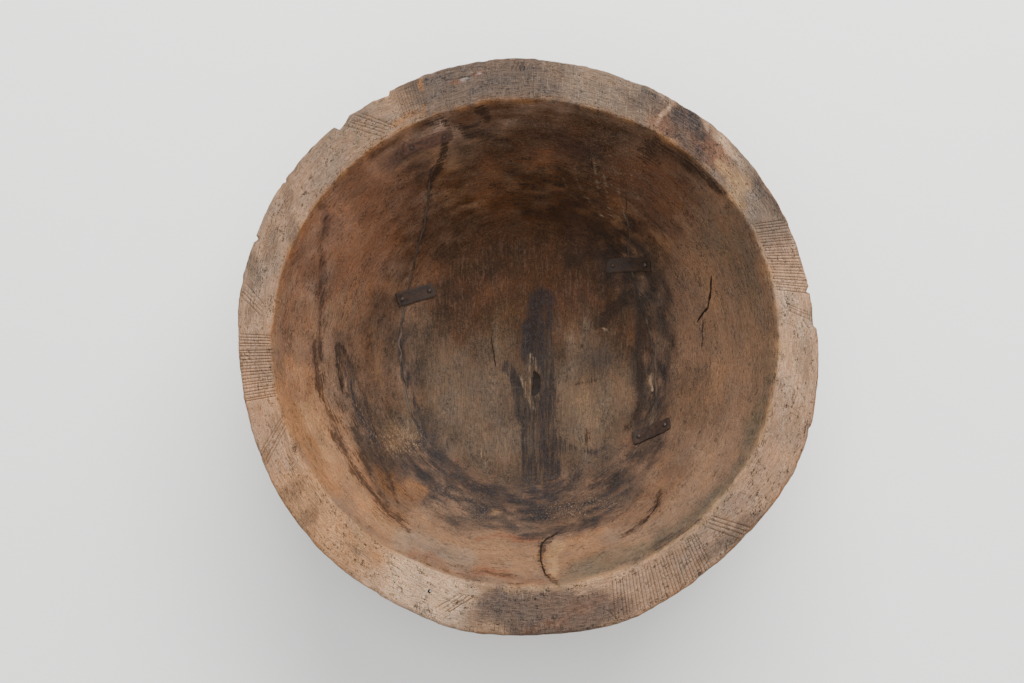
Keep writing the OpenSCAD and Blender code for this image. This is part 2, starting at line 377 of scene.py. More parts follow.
LEFT_CRACK = [
    (-73, 176), (-87, 157), (-91, 128), (-102, 90), (-111, 53), (-117, 16), (-114, -21),
    (-105, -54),
    (-88, -82),
]
RIGHT_CRACK = [
    (90, 146), (93, 112), (96, 86), (107, 53), (119, 6), (119, -40), (112, -70), (86, -108),
]
pitched = [
    Line(LEFT_CRACK, 2.0, 1.5, wander=1.0, ends=0.15, seed=21, black=0.25),
    Line(RIGHT_CRACK, 2.0, 1.5, wander=1.0, ends=0.15, seed=22, black=0.15),
]
ARC_A = [
    (-188, 6), (-186, -16), (-183, -39), (-172, -65), (-164, -81), (-157, -98), (-149, -112),
    (-136, -128),
    (-119, -148), (-102, -162),
]
ARC_B = [(-170, 5), (-169, -16), (-165, -32), (-162, -42), (-151, -71), (-141, -83), (-133, -95)]
ARC_C = [
    (-165, 4), (-157, -18), (-147, -40), (-140, -63), (-134, -85), (-130, -98), (-122, -114),
    (-113, -138),
]
GROOVE = [(-176, 113), (-180, 83), (-182, 41), (-183, -12)]
# Open cracks: [points, width, depth, how far it wanders, seed, part of it that tapers, blackness].
CRACKS = [
    ([(-95, 246), (-94, 232), (-91, 214), (-89, 199), (-88, 190)], 0.5, 0.3, 0.8, 23, 0.1, 0.3),
    ([(-31, 27), (-32, 15), (-30, 5), (-29, -5), (-27, -16)], 0.9, 0.9, 0.5, 24, 0.25, 0.7),
    ([(165, 68), (165, 52), (164, 38), (160, 33)], 1.7, 2.6, 0.7, 25, 0.25, 1.0),
    ([(164, 40), (158, 33), (154, 26)], 1.4, 1.8, 0.4, 26, 0.25, 0.9),
    ([(162, 33), (159, 22), (160, 12), (159, -2)], 0.9, 1.0, 0.7, 38, 0.25, 0.7),
    (
        [(31, -160), (19, -167), (13, -175), (11, -187), (15, -198), (22, -206)],
        1.2, 1.6, 0.8, 27, 0.15, 0.85,
    ),
    ([(118, -127), (113, -140), (105, -151), (97, -159)], 1.2, 1.2, 0.7, 28, 0.25, 0.7),
    (ARC_A, 1.0, 0.7, 0.7, 29, 0.1, 0.35),
    (ARC_B[:4], 1.4, 0.9, 0.6, 30, 0.2, 0.5),
    (ARC_C, 0.8, 0.5, 0.7, 31, 0.1, 0.35),
    (GROOVE, 2.6, 0.8, 0.3, 37, 0.1, 0.25),
    ([(5, -40), (10, -27), (8, -8)], 8.0, 2.6, 1.6, 34, 0.4, 0.6),
    ([(9, 52), (10, 30), (7, 12)], 0.6, 0.4, 1.2, 35, 0.25, 0.6),
    ([(-42, -67), (-38, -85), (-33, -104)], 0.5, 0.3, 0.3, 36, 0.25, 0.3),
    ([(86, 144), (106, 125), (126, 108)], 0.6, 0.4, 0.6, 41, 0.25, 0.5),
    ([(-60, 230), (-54, 232), (-48, 233), (-43, 236)], 1.3, 0.5, 0.8, 32, 0.25, 0.4),
    ([(150, 174), (156, 169), (162, 163)], 0.8, 0.4, 0.3, 33, 0.25, 0.5),
]
cracks = [
    Line(points, width, depth, wander=wander, seed=seed, ends=ends, black=black)
    for points, width, depth, wander, seed, ends, black in CRACKS
]

# Thin light scratches: [points, strength].
THIN_SCRATCHES = [
    ([(110, 124), (122, 111), (133, 99)], 0.70),
    ([(60, 172), (63, 160), (66, 143)], 0.66),
    ([(70, 160), (74, 148), (78, 128)], 0.62),
    ([(44, 168), (50, 146)], 0.58),
    ([(84, 150), (86, 138), (94, 118)], 0.62),
    ([(52, 148), (60, 138), (72, 126)], 0.60),
    ([(94, 158), (97, 146), (102, 138)], 0.58),
    ([(34, 160), (38, 150)], 0.50),
]
# Narrow marks: [points, width, soft edge, strength, kind], where the kind is one of three: a cold
# dark stain;
# a brownish dark stain, among which one line is a painted shadow; and torn light wood, among which
# one line is a painted highlight.
MARKS = [
    (GROOVE, 1.0, 3.0, 0.40, "brown"),
    ([(-187, 62), (-187, 20), (-188, -3)], 1.0, 4.0, 0.40, "brown"),
    (ARC_A, 1.6, 2.6, 0.95, "brown"),
    (ARC_A[2:], 5.0, 7.0, 0.55, "brown"),
    ([(-155, -72), (-146, -94), (-137, -115), (-126, -132), (-118, -144)], 1.2, 3.5, 0.80, "brown"),
    (ARC_B[:4], 2.2, 2.4, 0.95, "brown"),
    (ARC_B[3:], 1.5, 5.0, 0.70, "brown"),
    (ARC_C, 1.2, 2.6, 0.80, "brown"),
    ([(-160, -14), (-152, -44), (-142, -72), (-131, -96)], 6.0, 7.0, 0.60, "dark"),
    ([(-71, 182), (-76, 169), (-80, 161), (-86, 154)], 3.0, 3.0, 0.95, "brown"),
    ([(-86, 156), (-88, 139), (-92, 128), (-96, 108)], 1.4, 3.5, 0.66, "brown"),
    (
        [(-115, 15), (-114, -7), (-108, -28), (-101, -45), (-96, -65), (-89, -82), (-81, -95)],
        2.6, 4.0, 0.74, "dark",
    ),
    ([(98, 61), (88, 51), (78, 43), (69, 33), (64, 29)], 8.0, 2.4, 1.45, "brown"),
    ([(98, 61), (106, 53), (109, 41), (110, 29), (113, 16), (116, 4)], 4.5, 6.0, 1.05, "brown"),
    (
        [(98, 8), (106, -4), (107, -15), (104, -27), (107, -40), (105, -48), (101, -57), (94, -66)],
        3.2, 5.0, 0.86, "brown",
    ),
    ([(115, 68), (122, 61), (125, 46), (127, 31), (124, 15), (123, -8)], 2.0, 8.0, 0.60, "brown"),
    ([(124, 12), (127, -6), (126, -22), (121, -44)], 3.0, 6.0, 0.46, "dark"),
    ([(114, -35), (113, -43), (112, -56)], 0.8, 1.4, 0.85, "brown"),
    ([(24, 12), (38, 12), (52, 11)], 1.0, 2.5, 0.60, "brown"),
    ([(46, -25), (58, -23), (73, -19)], 0.6, 1.6, 0.60, "brown"),
    ([(32, -80), (46, -84), (64, -89), (74, -82)], 1.5, 5.0, 0.72, "dark"),
    ([(57, -67), (55, -81)], 1.4, 3.2, 0.75, "brown"),
    ([(119, -125), (113, -140), (105, -151), (96, -160), (83, -168)], 2.4, 3.0, 0.75, "brown"),
    ([(28, -162), (15, -173), (11, -187), (15, -199), (26, -210)], 2.0, 3.5, 0.80, "brown"),
    # painted shadow: this dark line just under the mouth's edge at upper right stands for the rim's
    # shadow on the wall
    ([(120, 171), (133, 163), (147, 152), (160, 140), (172, 128)], 2.0, 4.0, 0.90, "brown"),
    ([(-90, -188), (-70, -197), (-40, -205), (4, -211)], 0.8, 3.0, 0.55, "brown"),
    ([(-70, -190), (-40, -198), (0, -203)], 0.7, 2.4, 0.45, "brown"),
    ([(104, -180), (129, -166), (150, -154)], 2.4, 4.0, 0.75, "dark"),
    ([(3, 3), (2, -12), (3, -33), (5, -48)], 1.6, 2.4, 0.72, "torn"),
    ([(8, 0), (10, -13), (13, -24)], 1.2, 1.8, 0.75, "torn"),
    ([(-4, -16), (-2, -28), (2, -40)], 2.4, 1.6, 0.80, "torn"),
    ([(9, -46), (9, -64), (10, -78), (10, -96)], 1.2, 3.6, 0.42, "torn"),
    ([(115, -16), (115, -25), (117, -31)], 0.8, 1.0, 1.2, "torn"),
    ([(72, 27), (75, 25)], 1.0, 1.2, 1.2, "torn"),
    ([(-40, -71), (-39, -78), (-40, -87), (-41, -92), (-38, -100)], 0.8, 1.0, 0.65, "torn"),
    ([(-52, -88), (-30, -92)], 0.5, 1.2, 0.35, "torn"),
    ([(96, 124), (97, 112), (96, 96)], 0.6, 1.2, 0.26, "torn"),
    ([(105, 60), (109, 47), (112, 28), (115, 17)], 0.8, 1.4, 0.38, "torn"),
    *((points, 0.4, 1.0, strength, "torn") for points, strength in THIN_SCRATCHES),
    # painted highlight: this pale line down the right side of the groove stands for light on the
    # groove's ridge
    ([(-172, 110), (-176, 83), (-178, 41), (-179, 10), (-178, -45)], 0.7, 1.4, 0.38, "torn"),
]
# How far from its line a mark can still show.
MARK_REACH = 14
marks = [
    Line(points, width, 0, "mark", wander=0.8, ends=0.12, seed=100 + i)
    for i, (points, width, *_) in enumerate(MARKS)
]


HANG = next(m for m in frame["record"]["mounts"] if m["name"] == "hang_hole")
HANG_XY = np.array(HANG["pos_m"][:2]) / MM
HANG_R = HANG["dims"]["r_mm"]
# Small pits: [x, y, radius, depth].
PITS = [
    (-177, 115, 4.2, 4.0), (161, 0, 1.8, 1.6), (145, -38, 1.9, 1.8), (-88, -224, 1.2, 1.0),
    (151, -33, 1.2, 0.8),
]

# Where the blade came down: seen from above inside, and in the underside's plane, shrunk, outside.
# The radii are the blade's own curve.
INSIDE_STROKES, OUTSIDE_STROKES = 700, 900
INSIDE_REACH, OUTSIDE_SHRINK = 235, 0.9
INSIDE_BLADE_R, OUTSIDE_BLADE_R = 330, 260
rng = np.random.default_rng(40)
INSIDE_TOOL, OUTSIDE_TOOL = KDTree(INSIDE_STROKES), KDTree(OUTSIDE_STROKES)
for i in range(INSIDE_STROKES):
    r, a = INSIDE_REACH * math.sqrt(rng.random()), rng.random() * 2 * math.pi
    INSIDE_TOOL.insert((r * math.cos(a), r * math.sin(a), 0), i)
for i in range(OUTSIDE_STROKES):
    t, a = rng.uniform(SPLIT_T + 20, END_T), rng.random() * 2 * math.pi
    r = (END_T - t) * OUTSIDE_SHRINK
    OUTSIDE_TOOL.insert((r * math.cos(a), r * math.sin(a), 0), i)
INSIDE_TOOL.balance()
OUTSIDE_TOOL.balance()


def scallops(tree, x, y, radius):
    """Shallow hollows left by a curved blade round each of the tree's points."""
    near = np.array([tree.find((a, b, 0))[2] for a, b in zip(x, y)])
    return near**2 / (2 * radius) - 0.3


def slow_relief(x, y):
    return 0.9 * layered_noise(x / 70, y / 95, seed=11)


def top_relief(x, y, t, phi):
    """Height of the surface over its section, and how much each place is cut or cracked."""
    rim = smooth(t, MOUTH_T - 4, MOUTH_T + 3)
    lift = (1 - rim) * (slow_relief(x, y) + scallops(INSIDE_TOOL, x, y, INSIDE_BLADE_R))
    fine = 0.12 * layered_noise(x / 4, y / 12, seed=13)
    lift += rim * (0.35 * layered_noise(x / 22, y / 34, seed=12) + fine)
    lift += 0.10 * layered_noise(x / 3.0, y / 9.0, t / 9.0, seed=14)
    edge = np.exp(-((t - MOUTH_T) / 5) ** 2)
    lift -= edge * (0.5 + 0.5 * layered_noise(x / 9, y / 9, seed=15))
    outer = np.exp(-((t - EDGE_T) / 3.5) ** 2)
    lift -= outer * np.clip(0.3 + 0.6 * layered_noise(x / 7, y / 7, seed=16), 0, 2)
    for px, py, radius, depth in PITS:
        lift += -depth * np.exp(-((np.hypot(x - px, y - py) / radius) ** 2) * 1.8)
    cut, crack = np.zeros(len(x)), np.zeros(len(x))
    xy = np.c_[x, y]
    for line in cuts:
        idx, d, width, depth = line.near(xy, 1.5)
        f = np.clip(1 - 2 * d / width, 0, 1)
        lift[idx] -= depth * f
        cut[idx] = np.maximum(cut[idx], f * (depth > 0.1))
    for line in cracks + pitched:
        idx, d, width, depth = line.near(xy, 6)
        f = smooth(-d / width, -0.54, -0.3)
        lift[idx] -= depth * f
        crack[idx] = np.maximum(crack[idx], f * np.clip(depth, 0, 1) * line.black)
    return lift, cut, crack


# ---------------------------------------------------------------- mesh of the bowl


class Spread:
    """Collects points in a plane that keep a distance from each other."""

    # Size of the squares by which the ground is taken.
    cell = 0.4

    def __init__(self, reach):
        self.reach = reach
        self.size = int(2 * reach / self.cell) + 9
        self.taken = np.zeros((self.size, self.size), bool)
        self.points = []

    def cells(self, points):
        return np.clip(((points + self.reach) / self.cell).astype(int) + 4, 4, self.size - 5)

    def free(self, points):
        """The points that lie within reach and on free ground."""
        points = points[np.hypot(*points.T) < self.reach]
        where = self.cells(points)
        return points[~self.taken[where[:, 1], where[:, 0]]]

    def take(self, points, gap):
        """Takes the ground within gap of the points."""
        where = self.cells(points)
        n = int(gap / self.cell)
        for dx in range(-n, n + 1):
            for dy in range(-n, n + 1):
                if dx * dx + dy * dy <= (gap / self.cell) ** 2:
                    x = np.clip(where[:, 0] + dx, 0, self.size - 1)
                    y = np.clip(where[:, 1] + dy, 0, self.size - 1)
                    self.taken[y, x] = True

    def add(self, points, gap):
        """Adds the points that lie on free ground, and takes the ground within gap of them."""
        points = self.free(points)
        self.points.append(points)
        self.take(points, gap)

    def add_rows(self, points, closest):
        """Adds points of rows, one for each square of size closest, and returns them."""
        seen = set()
        keep = []
        for p in points:
            key = (round(p[0] / closest), round(p[1] / closest))
            if key not in seen:
                seen.add(key)
                keep.append(p)
        self.points.append(np.array(keep))
        return np.array(keep)

    def all(self):
        return np.vstack(self.points)


def lattice(reach, gap, keep=None):
    """Points of a slightly shaken triangular grid over a disc."""
    rows = np.arange(-reach, reach, gap * math.sqrt(3) / 2)
    xs = np.arange(-reach, reach, gap)
    x, y = np.meshgrid(xs, rows)
    x[1::2] += gap / 2
    shake = np.random.default_rng(int(gap * 100)).uniform(-0.12, 0.12, (2,) + x.shape) * gap
    points = np.c_[(x + shake[0]).ravel(), (y + shake[1]).ravel()]
    points = points[np.hypot(*points.T) < reach]
    return points if keep is None else points[keep(points)]


def flat(t, phi):
    """Where t and phi lie in the plane in which the top of the bowl is meshed."""
    a = deg(phi)
    return np.c_[t * np.cos(a), t * np.sin(a)]


def ring_angles():
    """Angles of the ring where top and underside join, closer together at the broken edges."""
    fine = np.arange(0, 360, 0.05)
    need = np.full(len(fine), 0.42)
    for a, left, right, _ in BREAKS:
        off = turn_between(fine, a)
        need[(off > -right * 1.3) & (off < left * 1.3)] = 0.16
    run = np.cumsum(0.05 / need)
    count = int(run[-1])
    return np.interp(np.arange(count) * run[-1] / count, run, fine)


def circle(centre, radius, count):
    a = np.linspace(0, 2 * np.pi, count, endpoint=False)
    return np.c_[centre[0] + radius * np.cos(a), centre[1] + radius * np.sin(a)]


def triangles(points):
    """Triangles over points in a plane, all turning the same way."""
    found = delaunay_2d_cdt([Vector(p) for p in points], [], [], 0, 1e-7)
    first = np.array([origin[0] if origin else -1 for origin in found[3]])
    tri = first[np.array(found[2], int)]
    a, b, c = (points[tri[:, i]] for i in range(3))
    area = (b[:, 0] - a[:, 0]) * (c[:, 1] - a[:, 1]) - (b[:, 1] - a[:, 1]) * (c[:, 0] - a[:, 0])
    tri[area < 0] = tri[area < 0][:, ::-1]
    return tri[np.abs(area) > 1e-6]


# The ring's points come first in both halves of the mesh, those of the hanging hole's edge next.
RING = ring_angles()
HOLE_SIDES = 28
HOLE = slice(len(RING), len(RING) + HOLE_SIDES)
# The hanging hole narrows to this part of its radius at the underside.
HOLE_NARROWS = 0.5
STRAP_ENDS = {
    name: [np.array(sum(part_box(f"nail_{name}_{end}"), Vector())) / 2 / MM for end in "ab"]
    for name in ("upper_left", "left", "right", "lower_right")
}


def angle_of(points):
    return np.degrees(np.arctan2(points[:, 1], points[:, 0]))


def leave_hole(tri):
    """The triangles without those that would close the hanging hole."""
    return tri[~((tri >= HOLE.start) & (tri < HOLE.stop)).all(1)]


def near_edge_break(points):
    phi = angle_of(points)
    near = np.zeros(len(points), bool)
    for a, left, right, _ in BREAKS:
        off = turn_between(phi, a)
        near |= (off > -right - 0.6) & (off < left + 0.6)
    return near & (np.hypot(*points.T) > EDGE_T - 8)


def near_rim(points):
    return abs(np.hypot(*points.T) - (MOUTH_T + EDGE_T) / 2) < RIM_W / 2 + 4


def top_points():
    """Points of inside and rim in the plane of flat(), the ring and the hole's edge first."""
    reach = SPLIT_T - 0.9
    spread = Spread(reach)
    spread.points.append(flat(SPLIT_T, RING))
    for radius in (HANG_R, HANG_R + 0.5):
        spread.points.append(flat(*under(*circle(HANG_XY, radius, HOLE_SIDES).T)))
    centre = flat(*under(*HANG_XY[:, None]))
    spread.take(centre, HANG_R + 1.0)
    rows = np.vstack([row for line in cuts + cracks + pitched + marks for row in line.rows()])
    laid = flat(*under(*rows.T))
    laid = laid[np.hypot(*(laid - centre).T) > HANG_R + 1.2]
    laid = laid[np.hypot(*laid.T) < SPLIT_T - 1.5]
    kept = spread.add_rows(laid, 0.3)
    spread.take(spread.free(kept), 0.8)
    coarser = 1.0
    # Spacing of the points, where they lie, and the room each needs.
    for gap, keep, room in ((1.0, near_edge_break, 0.6), (2.1, near_rim, 1.3), (3.55, None, 1.75)):
        spread.add(lattice(reach, gap * coarser, keep), room)
    return spread.all()


def build_top():
    """Points of the upper half, its triangles, and t, phi, cut and crack at each point."""
    points = top_points()
    ring = len(RING)
    t, phi = np.hypot(*points.T), angle_of(points)
    t[:ring], phi[:ring] = SPLIT_T, RING
    x, y, _ = place(t, phi).T
    lift, cut, crack = top_relief(x, y, t, phi)
    lift *= 1 - smooth(t, EDGE_T + 2, SPLIT_T - 1) * 0.6
    lift[:ring] = 0
    top = place(t, phi, lift)
    top[HOLE, :2] = circle(HANG_XY, HANG_R, HOLE_SIDES)
    return top, leave_hole(triangles(points)), t, phi, cut, crack


def build_underside():
    """The lower half, meshed in a plane of its own with the ring as its outer edge.

    It gives the points without the ring's, all its triangles, and t and phi at the points.
    """
    reach = END_T - SPLIT_T
    inner = reach - 1.4
    ring = len(RING)
    low = Spread(inner)
    low.points.append(flat(reach, RING))
    hole_xy = circle(HANG_XY, HANG_R * HOLE_NARROWS, HOLE_SIDES)
    below = (T > SPLIT_T - 2) & (T < SPLIT_T + 40)
    hole_t = np.interp(-np.hypot(*hole_xy.T), -SECTION_R[below], T[below])
    low.points.append(flat(END_T - hole_t, angle_of(hole_xy)))
    low.take(low.points[-1].mean(0)[None], HANG_R + 1.4)
    low.add(lattice(inner, 2.6, lambda p: np.hypot(*p.T) > reach - 14), 1.6)
    low.add(lattice(inner, 4.6), 2.4)
    points = low.all()
    tri = leave_hole(triangles(points))[:, ::-1]
    t, phi = END_T - np.hypot(*points.T), angle_of(points)
    x, y, z = place(t, phi).T
    side = smooth(t, SPLIT_T + 18, SPLIT_T + 40) * (1 - smooth(t, END_T - 112, END_T - 96))
    swell = 1.3 * layered_noise(x / 60, y / 60, z / 60, seed=51)
    facets = scallops(OUTSIDE_TOOL, *(points * OUTSIDE_SHRINK).T, OUTSIDE_BLADE_R)
    lift = side * (swell + 2.2 * facets)
    lift += 0.25 * layered_noise(x / 12, y / 30, z / 12, seed=52) * smooth(t, SPLIT_T, SPLIT_T + 6)
    base = smooth(t, END_T - 104, END_T - 92)
    lift = lift * (1 - base) - base * (0.35 + 0.3 * layered_noise(x / 18, y / 18, seed=53))
    bottom = place(t, phi, lift)
    bottom[:, 2] = np.maximum(bottom[:, 2], 0)
    bottom[HOLE, :2] = hole_xy
    return bottom[ring:], tri, t[ring:], phi[ring:]


def build_bowl():
    """Both halves as one mesh: they share the ring, and a tube joins the edges of the hole."""
    top, top_tri, top_t, top_phi, cut, crack = build_top()
    bottom, low_tri, low_t, low_phi = build_underside()
    ring, shift = len(RING), len(top) - len(RING)
    low_tri = np.where(low_tri < ring, low_tri, low_tri + shift)
    upper = np.arange(HOLE.start, HOLE.stop)
    lower = upper + shift
    upper_next, lower_next = np.roll(upper, -1), np.roll(lower, -1)
    tube = np.vstack([np.c_[upper, upper_next, lower], np.c_[upper_next, lower_next, lower]])
    masks = {"cut": np.r_[cut, np.zeros(len(bottom))], "crack": np.r_[crack, np.zeros(len(bottom))]}
    verts, faces = np.vstack([top, bottom]), np.vstack([top_tri, low_tri, tube])
    return verts, faces, np.r_[top_t, low_t], np.r_[top_phi, low_phi], masks


def make_mesh(name, verts, faces):
    """A mesh object from points in millimetres."""
    mesh = bpy.data.meshes.new(name)
    mesh.from_pydata((np.asarray(verts) * MM).tolist(), [], [list(map(int, f)) for f in faces])
    mesh.validate()
    mesh.update()
    obj = bpy.data.objects.new(name, mesh)
    bpy.context.scene.collection.objects.link(obj)
    return obj


def soften(obj, angle):
    """Smooth shading, with sharp edges where faces meet at more than angle degrees."""
    obj.data.shade_smooth()
    obj.data.set_sharp_from_angle(angle=math.radians(angle))


verts, faces, t, phi, worked = build_bowl()
bowl = make_mesh("carved_bowl", verts, faces)
soften(bowl, 50)

# ---------------------------------------------------------------- stains, burns and wear, with some painted shadows, highlights and glints

x, y, z = verts.T
rim = smooth(t, MOUTH_T - 2, MOUTH_T + 2) * (1 - smooth(t, EDGE_T + 1, EDGE_T + 5))
inside = 1 - smooth(t, MOUTH_T - 2, MOUTH_T + 2)
outside = smooth(t, EDGE_T + 1, EDGE_T + 5)
# Stains follow coordinates that are pulled about a little, so that their edges aren't even, and
# narrow strokes follow some that are pulled about less.
warp_x = (
    x + 5.0 * layered_noise(x / 32, y / 48, seed=91)
    + 1.6 * value_noise(x / 7, y / 13, seed=92)
)
warp_y = (
    y + 7.0 * layered_noise(x / 30, y / 55, seed=93)
    + 2.0 * value_noise(x / 8, y / 16, seed=94)
)
near_x = x + 1.5 * value_noise(x / 6, y / 11, seed=87)
near_y = y + 1.8 * value_noise(x / 7, y / 12, seed=88)

# Colours of the wood: the rim's, the inside's, and the outside's.
TAN = (0.262, 0.156, 0.092)
PINK_TAN = (0.360, 0.214, 0.130)
PALE = (0.450, 0.285, 0.175)
GREY_TAN = (0.182, 0.130, 0.094)
GREY_BROWN = (0.084, 0.065, 0.055)
PURPLE = (0.082, 0.047, 0.034)
PURPLE_DARK = (0.034, 0.026, 0.025)
WALL = (0.178, 0.102, 0.062)
RED_BROWN = (0.175, 0.072, 0.037)
DARK_WALL_AND_SHADOW = (0.051, 0.020, 0.007)
LIGHT_WALL = (0.214, 0.122, 0.071)
FLOOR = (0.068, 0.042, 0.026)
FLOOR_LIGHT = (0.118, 0.078, 0.051)
ORANGE = (0.255, 0.112, 0.043)
GOLD = (0.340, 0.195, 0.092)
GREEN_GREY = (0.110, 0.078, 0.050)
BLUE_BLACK = (0.022, 0.017, 0.016)
BACK = (0.085, 0.050, 0.032)

paint = np.tile(np.array(WALL), (len(x), 1))

# Where the grain runs round the bowl and not along the log, and the raggedness that goes with it.
ringwise = smooth(t, 96, 130) * (1 - smooth(t, SPLIT_T + 8, SPLIT_T + 34))
ragged_log = layered_noise(x / 7, y / 18, z / 7, seed=84)
ragged_ring = layered_noise(t / 6, 11 * np.cos(deg(phi)), 11 * np.sin(deg(phi)), seed=85)
ragged = ragged_log + (ragged_ring - ragged_log) * ringwise


def tint(colour, mask):
    """Lays a colour over the wood, as thick as the mask, with a ragged edge along the grain."""
    mask = np.clip(mask, 0, 1)
    mask = np.clip(mask + 1.4 * mask * (1 - mask) * ragged, 0, 1)
    paint[:] += (np.array(colour) - paint) * mask[:, None]


def patch(cx, cy, rx, ry, turn=0, soft=0.6):
    """An oval with its long sides at turn degrees, seen from above."""
    a = deg(turn)
    u = ((warp_x - cx) * np.cos(a) + (warp_y - cy) * np.sin(a)) / rx
    v = (-(warp_x - cx) * np.sin(a) + (warp_y - cy) * np.cos(a)) / ry
    return 1 - smooth(np.hypot(u, v), 1 - soft, 1 + soft)


def brush(points, width, soft, even=False):
    """A stroke along a line: full over width, fading over soft on both sides."""
    line = Line(points, width, 0, "mark", ends=0)
    xy = np.c_[near_x, near_y] if even else np.c_[warp_x, warp_y]
    idx, d, _, _ = line.near(xy, width / 2 + soft + 1)
    out = np.zeros(len(x))
    out[idx] = 1 - smooth(d, width / 2, width / 2 + soft)
    return out


def sector(middle, half, soft):
    """A stretch of the rim on both sides of an angle, all in degrees."""
    wander = 1.5 * value_noise(x / 14, y / 20, seed=95)
    return 1 - smooth(np.abs(turn_between(phi, middle) + wander), half, half + soft)


def most(*masks):
    """The strongest of the masks at each point."""
    return np.clip(np.maximum.reduce(masks), 0, 1)


def spots(*ovals):
    """Several ovals as one mask."""
    return most(*(patch(*oval) for oval in ovals))


def weighted(rows):
    """Ovals of their own strengths, each given as the strength and then what patch() takes."""
    return most(*(strength * patch(*oval) for strength, *oval in rows))


def relight(factor, mask):
    """Makes the wood lighter or darker where the mask says, by a factor for each colour."""
    paint[:] = paint * (1 + (np.array(factor) - 1) * mask[:, None])


# The inside, from the broad tones to the small ones.
tint(LIGHT_WALL, 0.55 * patch(40, -150, 170, 60))
tint(
    (0.300, 0.142, 0.066),
    0.85 * brush([(-204, -30), (-184, -60), (-165, -95), (-145, -130), (-114, -158)], 16, 14),
)
tint((0.205, 0.108, 0.056), 0.8 * brush([(-110, -160), (-60, -180), (0, -184)], 16, 16))
tint(GOLD, 0.30 * brush([(-196, -56), (-176, -92), (-150, -130), (-112, -164)], 5, 8))
tint(LIGHT_WALL, 0.75 * brush([(156, 118), (176, 86), (190, 40), (194, -10)], 26, 22))
tint(LIGHT_WALL, 0.7 * brush([(170, -20), (150, -90), (120, -130), (80, -156), (40, -176)], 26, 24))
tint((0.195, 0.086, 0.046), 0.75 * patch(-150, 115, 50, 75, -35))
tint(RED_BROWN, 0.3 * patch(-200, 20, 22, 80))
tint((0.085, 0.043, 0.027), 0.65 * brush(GROOVE, 3.5, 3.0, True))
tint(ORANGE, 0.15 * patch(-148, 5, 20, 60, 0, 0.7))
tint(GOLD, 0.22 * patch(-135, -6, 4, 30, 4))
tint((0.054, 0.023, 0.010), 0.74 * patch(40, 166, 112, 80, 0, 0.5))
tint(DARK_WALL_AND_SHADOW, 0.15 * patch(-70, 120, 36, 50))
tint(RED_BROWN, 0.65 * spots((22, 182, 34, 16), (-30, 150, 14, 22, 20), (10, 168, 16, 7)))
tint(RED_BROWN, 0.42 * patch(108, 138, 46, 24, -35))
tint(ORANGE, 0.12 * patch(130, 128, 18, 10, -35, 0.7))
tint(GREEN_GREY, 0.30 * brush([(172, 108), (194, 66), (207, 20), (208, -30)], 8, 14))
tint(FLOOR, 0.95 * patch(0, -10, 108, 108, 0, 0.14))
tint(
    FLOOR_LIGHT,
    0.85 * spots(
        (-60, -40, 26, 48, 8), (-36, -80, 40, 20, 8), (-70, -84, 14, 12), (-62, 10, 20, 16),
    ),
)
tint(
    FLOOR_LIGHT,
    0.85 * spots(
        (66, 46, 16, 14), (50, -30, 26, 46, -6), (60, -70, 28, 22), (44, 20, 20, 24),
        (80, 26, 6, 8, 0, 0.5),
    ),
)
tint(GOLD, 0.14 * patch(66, -40, 18, 26, 0, 0.7))
tint(BLUE_BLACK, 0.34 * patch(68, -8, 18, 13, -25, 0.8))
tint(DARK_WALL_AND_SHADOW, 0.92 * patch(-2, 88, 112, 70, 0, 0.5))
tint((0.046, 0.021, 0.009), 0.75 * patch(-6, 60, 92, 46))
tint((0.066, 0.037, 0.021), 0.70 * patch(99, 32, 13, 34, -8))
tint(FLOOR_LIGHT, 0.35 * brush([(99, 70), (105, 50), (108, 28)], 1.4, 2.0))
tint(RED_BROWN, 0.22 * spots((-50, 60, 30, 14, 10), (40, 56, 20, 12), (-90, 70, 14, 24)))
tint(ORANGE, 0.30 * spots((90, -26, 7, 20, 6, 0.7), (98, 24, 5, 20)))
tint(FLOOR_LIGHT, 0.7 * patch(84, -34, 14, 30, 0, 0.7))
for mask in (
    0.60 * brush(
        [(-104, -68), (-98, -86), (-84, -110), (-46, -134), (4, -141), (58, -136), (86, -118)],
        20, 18,
    ),
    0.25 * brush([(86, -118), (100, -98), (108, -80)], 12, 16),
    0.42 * patch(64, -106, 26, 12, 20),
    0.38 * brush([(-98, -116), (-60, -150), (0, -158), (58, -150)], 12, 16),
    0.52 * brush([(104, 84), (117, 50), (120, 0), (117, -40), (108, -80)], 20, 14),
):
    tint(BLUE_BLACK, mask)
tint(
    (0.058, 0.038, 0.027),
    0.62 * brush([(110, 70), (119, 34), (120, 0), (116, -40), (106, -68)], 18, 12),
)
for mask in (
    0.30 * brush([(60, 128), (58, 108), (72, 92), (92, 106)], 20, 16),
    0.25 * patch(88, 86, 42, 16),
    0.40 * brush([(-112, 20), (-107, -30), (-97, -62), (-80, -94)], 7, 12),
    0.40 * brush([(-128, 163), (-110, 162), (-95, 158)], 8, 14),
    0.35 * brush([(-168, 4), (-158, -40), (-141, -72), (-122, -106)], 12, 8),
    0.35 * brush([(-90, 190), (-40, 196), (20, 190), (60, 170)], 6, 14),
):
    tint(BLUE_BLACK, mask)
tint(
    GREEN_GREY,
    0.85 * brush(
        [
            (203, -50), (195, -93), (185, -116), (168, -137), (147, -158), (123, -172), (91, -186),
            (56, -196), (30, -202),
        ],
        10, 8,
    ),
)
tint(ORANGE, 0.7 * brush([(-123, -111), (-111, -120), (-98, -127)], 6, 8))
tint(GOLD, 0.95 * brush([(17, -196), (18, -184), (28, -176)], 4, 4))
tint(ORANGE, 0.45 * brush([(22, -190), (38, -180), (58, -176)], 12, 12))
tint((0.090, 0.056, 0.032), 0.65 * patch(-118, -64, 20, 30, -30))
